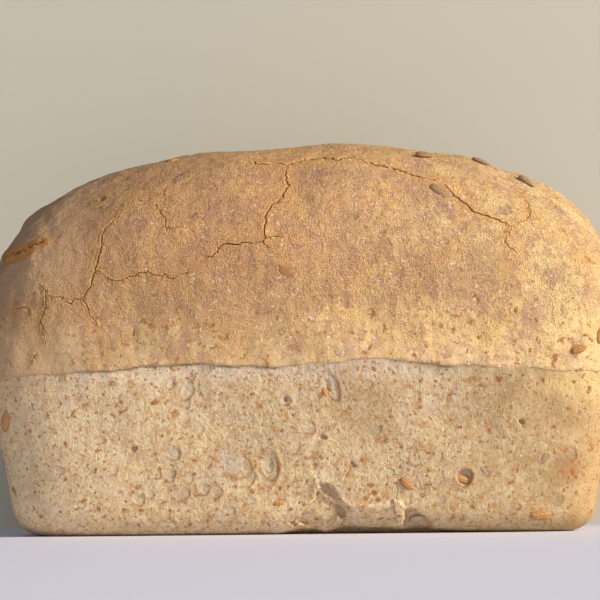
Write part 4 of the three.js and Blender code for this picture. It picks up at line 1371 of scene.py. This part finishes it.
# a brown patch where a bubble burst, then patches of painted shade
BRUISES_AND_PAINTED_SHADE = [
    # across, down, reach in millimetres, how dark it is seen
    (573, 462, 8.0, 1.0), (546, 414, 11.5, 0.55), (510, 396, 14.0, 0.35), (365, 400, 22.0, 0.35),
]
print(len(TIN_TONES), "tones and", len(TIN_STAINS), "kinds of stain on the tin's print")


# %% The tin's print
def bruise_and_shade_masks(tree, where, haze):
    """Dull brown patches: one where a bubble burst, and the others painted shade on the front of the print.
    """
    for across, down, reach, dark in BRUISES_AND_PAINTED_SHADE:
        middle = tuple(seen([[across, down]])[0][0])
        far = put(tree, "ShaderNodeVectorMath", {0: where, 1: middle}, operation="DISTANCE").outputs["Value"]
        ragged_reach = calc(tree, "MULTIPLY_ADD", haze, 0.4 * reach, far)
        yield ramp(tree, ragged_reach, 0.4 * reach, 1.3 * reach, dark, 0.0)


def make_tin_crust():
    material, tree, shader = new_material("tin_crust", 0.85)
    where = object_millimetres(tree)
    bend = put(tree, "ShaderNodeTexNoise", {"Vector": where, "Scale": 0.1, "Detail": 1.0}).outputs["Color"]
    bend = vector(tree, "SUBTRACT", bend, (0.5, 0.5, 0.5))
    combed = stretched(tree, vector(tree, "ADD", where, stretched(tree, bend, 12.0, 12.0, 12.0)), 1, 1, 0.2)
    fibres = speckle(tree, combed, 0.42, 1.5)
    patch = speckle(tree, where, 1.2, 10.0)
    axes = put(tree, "ShaderNodeSeparateXYZ", {0: where}).outputs
    tones = {name: colour(*tone) for name, tone in TIN_TONES.items()}
    first = blend(tree, patch["Haze"], tones["cream"], tones["cream_dull"])
    stain, over = crust_painter(tree, where, TIN_TONES, TIN_STAINS, first)

    # the dough: soft patches, streaks and pits
    over("yellow", stain("yellow"), 0.6)
    over("tan", stain("tan"), 0.7)
    over("grey", stain("grey"), 0.75)
    over("fibre", fibres["Grain"], 0.38)
    over("fibre_gap", ramp(tree, fibres["Haze"], 0.0, 0.6, 0.35, 0.0))
    over("pit", ramp(tree, patch["Grain"], 0.0, 0.4, 0.4, 0.0))
    over("halo", stain("halo"), 0.8)

    # broad changes: whitish under the rim, browner at the right end, partly as painted shade, and painted
    # light at the left
    right_end = ramp(tree, axes["X"], 30.0, 92.0)
    whitish = blend(tree, right_end, tones["whitish"], tones["whitish_right"])
    over(whitish, ramp(tree, axes["Z"], RIM_Z - 9, RIM_Z - 2), stain("whitish"), 0.6)
    # browner at the right end: partly browning, partly painted shade on the end that the window light falls
    # on most
    over("browned", ramp(tree, stain("browned"), 0.0, 1.0, 0.45, 1.0), right_end, 0.85)
    over("right_edge", ramp(tree, axes["X"], 84.0, 112.0), 0.5)
    # painted light: the right corner under the rim is painted golden and bright, where the window light falls
    over("golden", ramp(tree, axes["X"], 76.0, 98.0), ramp(tree, axes["Z"], RIM_Z - 22, RIM_Z - 6), 0.8)
    # painted light: lighter towards the left end
    over("left_light", ramp(tree, axes["X"], -36.0, -100.0, 0.0, 0.3))
    left_end = ramp(tree, axes["X"], -74.0, -100.0)
    over("left_rim", left_end, ramp(tree, axes["Z"], RIM_Z - 22, RIM_Z - 2), 0.55)
    # a real brown patch, and patches of painted shade
    for mask in bruise_and_shade_masks(tree, where, patch["Haze"]):
        over("bruise", mask)

    # bran, from single chips to fine specks
    rough = calc(tree, "SUBTRACT", patch["Grain"], 0.5)
    ragged_edge = calc(tree, "MULTIPLY_ADD", rough, 0.5, stored(tree, "bran"))
    over("chip_edge", ramp(tree, ragged_edge, 0.1, 0.7, 0.0, 0.6))
    over("chip", ramp(tree, ragged_edge, 0.55, 1.0, 0.0, 0.85))
    over("bran", stain("bran"), 0.85)
    over("speck", stain("speck"), 0.75)
    over("flour", stain("flour"), 0.6)

    # bubbles, painted shade in the fold and in the crease at the rim, and the cracks
    over(blend(tree, right_end, tones["glass"], tones["glass_right"]), stored(tree, "window"), 0.65)
    over("ring", stored(tree, "rim"), ramp(tree, patch["Grain"], 0.2, 0.8), 0.7)
    over("shade", stored(tree, "shade"), 0.8)
    over("fold", stored(tree, "fold"), 0.85)
    # painted shade along the crease at the rim
    over("crease", stored(tree, "crease"), 0.75)
    tree.links.new(crack_tones(tree, over), shader.inputs["Base Color"])
    relief = calc(tree, "ADD", fibres["Grain"], times(tree, patch["Grain"], 1.2))
    relief = calc(tree, "ADD", relief, times(tree, fibres["Haze"], 0.5))
    roughen(tree, shader, relief, 0.08)
    return material


tin_crust = make_tin_crust()
print("the tin's print has", len(tin_crust.node_tree.nodes), "nodes")


# %% The two shells, roughened, cracked and coloured
bpy.context.scene.collection.objects.link(crack_lines)
run_tree(tin_print, relief_tree, {
    "Cracks": crack_lines, "Crack Depth": 1.6, "Lip Height": 0.1, "Pillow Height": 1.3,
    "Wrinkle Height": 0.55, "Grain Height": 0.25, "Wrinkle Stretch": 0.55, "Seed": 2.0, "Material": tin_crust,
})
run_tree(dome, relief_tree, {
    "Cracks": crack_lines, "Crack Depth": 2.4, "Lip Height": 0.2, "Pillow Height": 2.2,
    "Wrinkle Height": 1.5, "Grain Height": 0.25, "Wrinkle Stretch": 0.45, "Seed": 7.0, "Material": dome_crust,
})
bpy.data.objects.remove(crack_lines)
pieces = [tin_print, dome]
for shell in pieces:
    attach(shell, "root")
    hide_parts("loaf")
    print(shell.name, len(shell.data.polygons), "triangles")


# %% [markdown]
# Sunflower kernels lie in the crust, some toasted brown where they stand out of it, some grey and
# glassy where a film of dough covers them, and a few buried at the crest or just under the skin.
# Husk and bran show as thin flakes, flush with the skin. Each kind is one small mesh that a
# Geometry Nodes tree sets down on many places, turned to lie along the crust, and then makes
# real, so that the result is one plain mesh for each kind.

# %% A tree that lays things on the crust
def make_laying_tree():
    inputs = {
        "Geometry": (GEOMETRY, None), "Thing": (OBJECT, None), "Seed": (INTEGER, 0),
        "Material": (MATERIAL, None),
    }
    tree, given, made = new_tree("laid_on_crust", "GeometryNodeTree", inputs, {"Geometry": GEOMETRY})
    up, along, size = (named(tree, name, "FLOAT_VECTOR") for name in ("up", "along", "size"))
    thing = put(tree, "GeometryNodeObjectInfo", {"Object": given["Thing"]}).outputs["Geometry"]
    axes = {"primary_axis": "Z", "secondary_axis": "X"}
    turn = put(tree, "FunctionNodeAxesToRotation", {0: up, 1: along}, **axes).outputs[0]
    many = {"Points": given["Geometry"], "Instance": thing, "Rotation": turn, "Scale": size}
    laid = put(tree, "GeometryNodeInstanceOnPoints", many).outputs[0]
    tone = put(tree, "FunctionNodeRandomValue", {"Seed": given["Seed"]}, data_type="FLOAT").outputs[1]
    toned = store(tree, laid, "tone", tone, "INSTANCE")
    return finish_tree(tree, toned, given, made)


laying_tree = make_laying_tree()


# %% One kernel and one flake
KERNEL = {"length": 9.4, "width": 4.6, "thick": 2.8}
KERNEL_RINGS = [(-0.5, 0), (-0.485, 0.3), (-0.44, 0.58), (-0.34, 0.84), (-0.18, 0.98), (0.0, 1.0),
                (0.16, 0.88), (0.3, 0.62), (0.41, 0.36), (0.48, 0.14), (0.5, 0)]
KERNEL_SIDES = 12
FLAKE = {"sides": 7, "thick": 0.22}


def kernel_mesh():
    rings = []
    for x, r in KERNEL_RINGS:
        if r == 0:
            rings.append(np.array([[x, 0, 0]]) * KERNEL["length"])
            continue
        angle = 2 * math.pi * np.arange(KERNEL_SIDES) / KERNEL_SIDES
        ridge = 1 + 0.05 * np.cos(6 * angle)
        y = np.cos(angle) * r * KERNEL["width"] / 2 * ridge
        z = np.sin(angle) * r**0.8 * KERNEL["thick"] / 2 * ridge
        rings.append(np.stack([np.full(KERNEL_SIDES, x * KERNEL["length"]), y, z], axis=1))
    points, faces = stack(rings)
    mesh = new_mesh("kernel", points, faces)
    write_attribute(mesh, "lengthwise", points[:, 0] / KERNEL["length"])
    write_attribute(mesh, "sideways", points[:, 1] / KERNEL["width"])
    mesh.shade_smooth()
    return bpy.data.objects.new("kernel", mesh)


def flake_mesh():
    """A thin ragged disc, one millimetre across, that is a little thicker in the middle."""
    sides = FLAKE["sides"]
    angle = 2 * math.pi * np.arange(sides) / sides
    reach = 0.5 * (1 + 0.22 * np.sin(2 * angle + 0.6) + 0.16 * np.sin(3 * angle))
    rim = np.stack([reach * np.cos(angle), reach * np.sin(angle), 0 * angle], axis=1)
    tip = np.array([[0.0, 0.0, FLAKE["thick"] / 2]])
    mesh = new_mesh("flake", *stack([-tip, rim, rim * [0.75, 0.75, 1] + tip * 0.8, tip]))
    mesh.shade_smooth()
    return bpy.data.objects.new("flake", mesh)


kernel_form = kernel_mesh()
flake_form = flake_mesh()
print("a kernel has", len(kernel_form.data.polygons), "faces, a flake", len(flake_form.data.polygons))


# %% Laying them down
def lay(name, form, places, normals, turn, size, sink, seed, material):
    """One piece of many things: at places on the crust, sunk a little below it."""
    along, _ = turned_axes(normals, turn)
    points = new_mesh(name, places - normals * np.asarray(sink)[:, None])
    write_attribute(points, "along", along)
    write_attribute(points, "up", normals)
    write_attribute(points, "size", size)
    piece = bpy.data.objects.new(name, points)
    bpy.context.scene.collection.objects.link(piece)
    bpy.context.scene.collection.objects.link(form)
    run_tree(piece, laying_tree, {"Thing": form, "Seed": seed, "Material": material})
    bpy.context.scene.collection.objects.unlink(form)
    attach(piece, "root")
    pieces.append(piece)
    print(name, len(places), "pieces,", len(piece.data.polygons), "faces")
    return piece


PROBE = {"start": 4, "reach": 9}


def shift_outward(places, normals):
    """Moves places from the plain form to the roughened skin of the two shells."""
    hits = []
    for place, normal in zip(places, normals):
        start = Vector((place + normal * PROBE["start"]) * MM)
        left = 0.0
        for shell in (tin_print, dome):
            found, spot, _, _ = shell.ray_cast(start, Vector(-normal), distance=PROBE["reach"] * MM)
            if found:
                left = max(left, PROBE["reach"] * MM - (start - spot).length)
        hits.append(left / MM - PROBE["reach"] + PROBE["start"] if left else 0.0)
    return places + normals * np.array(hits)[:, None]


middle = seen([[300, 300]])
shift = np.linalg.norm(shift_outward(*middle) - middle[0])
print("in the middle of the front the skin is", round(float(shift), 2), "mm from the plain form")


# %% Where the kernels lie
TOASTED = [
    # across and down as seen, turn in degrees, size, how far it is sunk in millimetres
    (173, 161, 4, 0.5, 0.0), (23, 230, 40, 0.35, 0.2), (407, 484, -38, 0.72, 0.1),
    (462.5, 479.5, -20, 0.7, -0.2), (542, 515, 0, 1.0, 0.7), (5.5, 419, 78, 0.95, 0.1),
    (598, 331, 80, 0.7, 0.3), (578, 343.5, 15, 0.75, 0.2), (350, 473, 42, 0.6, 0.6),
    (278.5, 503, 10, 0.5, 0.3), (74, 411, 60, 0.45, 0.4), (156, 402, 15, 0.45, 0.3),
    (190, 343, 20, 0.4, 0.4), (215, 332, -10, 0.4, 0.5), (325, 394, -68, 0.5, 0.4),
    (258, 403, 0, 0.4, 0.5), (506, 233, 20, 0.3, 0.1),
]
COVERED = [
    # the same, for kernels under a film of dough
    (417, 521, 14, 0.62, -0.6), (484, 471, -50, 0.5, 0.35), (545, 457, 62, 0.42, 0.3),
    (250, 479, 50, 0.62, 0.9), (138, 499, -60, 0.62, 0.9), (330, 386, -64, 0.85, 0.95),
    (337, 290, -70, 0.75, 1.1), (75, 405, 60, 0.5, 0.8), (522, 421, 20, 0.4, 0.6),
    (187, 391, 75, 0.7, 1.1), (205, 489, 20, 0.5, 0.9),
]
BURIED = [
    # across, down, turn, length, width, how far it is sunk: on the crest, then just under the skin
    (424, 158, 4, 0.75, 0.8, -0.9), (480, 165.5, -14, 0.8, 0.6, -0.6), (526, 184, -50, 0.95, 0.9, -0.5),
    (442, 192, -38, 1.2, 1.25, 0.9), (378, 184, -60, 0.55, 0.7, 0.8), (106, 206, 12, 0.45, 0.4, 0.2),
]
KERNELS_APART = 16.0


def kernel_rows(rows, hidden, seed):
    """The kernels of a list, and seeded ones where the front view shows none."""
    rows = np.array(rows, dtype=float)
    places, normals = seen(rows[:, :2])
    turn, size, sink = rows[:, 2], rows[:, 3], rows[:, 4]
    for low, high, count in ((RIM_Z + 6, CROWN_Z - 1, hidden[0]), (6, RIM_Z - 5, hidden[1])):
        more, more_normals, random = hidden_spots(low, high, count, KERNELS_APART, seed + int(low))
        places, normals = np.concatenate([places, more]), np.concatenate([normals, more_normals])
        turn = np.concatenate([turn, random.uniform(0, 180, len(more))])
        size = np.concatenate([size, random.uniform(0.5, 1.0, len(more))])
        sink = np.concatenate([sink, random.uniform(0.1, 0.9, len(more))])
    places = shift_outward(places, normals)
    return places, normals, turn, size, sink


print(len(TOASTED) + len(COVERED) + len(BURIED), "kernels are placed on the front")


# %% The skin of kernels and flakes
SEED_TONES = {
    # dark, light, streak and tip, as they show on a screen, then the roughness
    "toasted_kernel": ((172, 112, 60), (212, 160, 98), (226, 182, 126), (116, 74, 42), 0.6),
    "covered_kernel": ((150, 130, 106), (186, 164, 134), (204, 184, 152), (122, 100, 76), 0.6),
    "bran_flake": ((172, 116, 66), (206, 158, 106), (196, 144, 90), (146, 96, 56), 0.85),
    "buried_kernel": ((164, 118, 74), (184, 154, 120), (206, 176, 136), (96, 64, 40), 0.85),
}


def seed_material(name):
    """A kernel is streaked from end to end and darker at its point."""
    dark, light, streak, tip = (colour(*tone) for tone in SEED_TONES[name][:4])
    material, tree, shader = new_material(name, SEED_TONES[name][4])
    fine = speckle(tree, object_millimetres(tree), 0.4, 1.6)
    sideways = calc(tree, "MULTIPLY_ADD", fine["Haze"], 0.1, stored(tree, "sideways"))
    stripes = calc(tree, "ABSOLUTE", calc(tree, "SINE", times(tree, sideways, 11.0)))
    tone = blend(tree, stored(tree, "tone"), dark, light)
    tone = blend(tree, times(tree, ramp(tree, stripes, 0.5, 1.0), 0.35), tone, streak)
    tone = blend(tree, ramp(tree, calc(tree, "ABSOLUTE", sideways), 0.3, 0.52, 0.0, 0.6), tone, dark)
    tone = blend(tree, ramp(tree, stored(tree, "lengthwise"), -0.3, -0.48, 0.0, 0.5), tone, tip)
    tone = blend(tree, ramp(tree, fine["Grain"], 0.0, 0.5, 0.4, 0.0), tone, tip)
    tree.links.new(tone, shader.inputs["Base Color"])
    roughen(tree, shader, calc(tree, "ADD", fine["Grain"], stripes), 0.14)
    return material


skins = {name: seed_material(name) for name in SEED_TONES}
print("skins for", ", ".join(skins))


# %% The three kinds of kernel
for name, rows, hidden, first_seed, flatness, seed in (
    ("toasted_kernel", TOASTED, (34, 22), 11, 1.0, 5), ("covered_kernel", COVERED, (8, 14), 23, 0.9, 6),
):
    places, normals, turn, size, sink = kernel_rows(rows, hidden, first_seed)
    size = np.outer(size, [1, 1, flatness])
    lay(name + "s", kernel_form, places, normals, turn, size, sink, seed, skins[name])
rows = np.array(BURIED, dtype=float)
places, normals = seen(rows[:, :2])
places = shift_outward(places, normals)
size = rows[:, [3, 4, 4]]
lay("buried_kernels", kernel_form, places, normals, rows[:, 2], size, rows[:, 5], 8, skins["buried_kernel"])


# %% Flakes of bran
FLAKES = {"tin": 420, "dome": 320, "seed": 17}


def skin_spots(shell, count, seed, weight):
    """Seeded places on a shell's own faces, more of them where the weight is higher."""
    random = np.random.default_rng(seed)
    mesh = shell.data
    areas, middles, normals = (np.zeros(len(mesh.polygons) * k, dtype=np.float32) for k in (1, 3, 3))
    mesh.polygons.foreach_get("area", areas)
    mesh.polygons.foreach_get("center", middles)
    mesh.polygons.foreach_get("normal", normals)
    middles, normals = middles.reshape(-1, 3) / MM, normals.reshape(-1, 3)
    share = areas * weight(middles, normals)
    pick = random.choice(len(share), count, replace=False, p=share / share.sum())
    return middles[pick], normals[pick], random


def tin_weight(p, n):
    return (p[:, 2] > 2) & (p[:, 2] < RIM_Z + 2) & (np.abs(n[:, 2]) < 0.8)


def dome_weight(p, n):
    return np.where(p[:, 2] > RIM_Z + 1, 0.04 + smooth((118 - p[:, 2]) / 50), 0) * (n[:, 2] > -0.3)


for part, shell, weight in (("tin", tin_print, tin_weight), ("dome", dome, dome_weight)):
    places, normals, random = skin_spots(shell, FLAKES[part], FLAKES["seed"], weight)
    count = len(places)
    across = random.lognormal(0.0, 0.45, count)
    size = [across * random.uniform(0.9, 1.5, count), across * random.uniform(0.6, 1, count), np.ones(count)]
    size = np.stack(size, axis=1)
    turn, sink = random.uniform(0, 180, count), random.uniform(-0.02, 0.08, count)
    lay("bran_on_" + part, flake_form, places, normals, turn, size, sink, 9, skins["bran_flake"])


# %% [markdown]
# The table is a smooth lavender white sheet, and the wall behind it is a warm pale grey. The
# light is soft and comes from the right, well above the table, as from a window, with a cooler
# and weaker light from the front. The wall stands close behind the loaf. It is only seen from
# its front and throws no shadow, so that it never hides the loaf from behind.

# %% Table and wall
WALL_Y = 86.0
FAR = 2500
WALL_TOP = 1600


def make_sheet(name, corners, material):
    mesh = new_mesh(name, corners, [(0, 1, 2, 3)])
    mesh.materials.append(material)
    sheet = bpy.data.objects.new(name, mesh)
    bpy.context.scene.collection.objects.link(sheet)
    return sheet


table_paint, _, table_shader = new_material("table_paint", 0.55)
table_shader.inputs["Base Color"].default_value = colour(230, 230, 246)
wall_paint, wall_tree, wall_shader = new_material("wall_paint", 0.9)
wall_shader.inputs["Base Color"].default_value = colour(189, 184, 168)
behind = put(wall_tree, "ShaderNodeNewGeometry").outputs["Backfacing"]
clear = put(wall_tree, "ShaderNodeBsdfTransparent").outputs[0]
one_sided = put(wall_tree, "ShaderNodeMixShader", {0: behind, 1: wall_shader.outputs[0], 2: clear}).outputs[0]
wall_tree.links.new(one_sided, wall_tree.nodes["Material Output"].inputs["Surface"])

make_sheet("table", [(-FAR, -FAR, 0), (FAR, -FAR, 0), (FAR, FAR, 0), (-FAR, FAR, 0)], table_paint)
wall_corners = [(-FAR, WALL_Y, 0), (FAR, WALL_Y, 0), (FAR, WALL_Y, WALL_TOP), (-FAR, WALL_Y, WALL_TOP)]
wall = make_sheet("wall", wall_corners, wall_paint)
wall.visible_shadow = False
wall.visible_diffuse = False
wall.visible_glossy = False
print("the wall stands", WALL_Y, "mm behind the middle of the loaf")


# %% Light
LIGHTS = {
    # where it hangs and how wide it is in metres, its power in watts and its tint
    "window": ((4.7, -2.15, 2.3), 1.6, 460.0, (1.0, 0.95, 0.85)),
    "fill": ((-0.4, -3.9, 1.1), 3.0, 40.0, (0.92, 0.96, 1.0)),
}
AIM = Vector((0, 0, 0.07))
ROOM = {"tint": (0.86, 0.9, 1.0, 1.0), "strength": 0.18}

for name, (place, size, power, tint) in LIGHTS.items():
    light = bpy.data.lights.new(name, "AREA")
    light.shape = "DISK"
    light.size = size
    light.energy = power
    light.color = tint
    lamp = bpy.data.objects.new(name, light)
    lamp.location = place
    lamp.rotation_euler = (AIM - Vector(place)).to_track_quat("-Z", "Y").to_euler()
    bpy.context.scene.collection.objects.link(lamp)
world = bpy.data.worlds.new("room")
bpy.context.scene.world = world
world.use_nodes = True
background = world.node_tree.nodes["Background"]
background.inputs["Color"].default_value = ROOM["tint"]
background.inputs["Strength"].default_value = ROOM["strength"]
bpy.context.scene.view_settings.view_transform = "Standard"
print(len(LIGHTS), "lights, and the room's own glow at", ROOM["strength"])


# %% Sizes, and the end
def keep_inside(piece):
    """No roughness reaches past the box of the solid."""
    points = np.zeros(len(piece.data.vertices) * 3, dtype=np.float32)
    piece.data.vertices.foreach_get("co", points)
    points = np.clip(points.reshape(-1, 3), np.array(cad_box[0]), np.array(cad_box[1]))
    piece.data.vertices.foreach_set("co", points.ravel())
    piece.data.update()


for piece in pieces:
    keep_inside(piece)
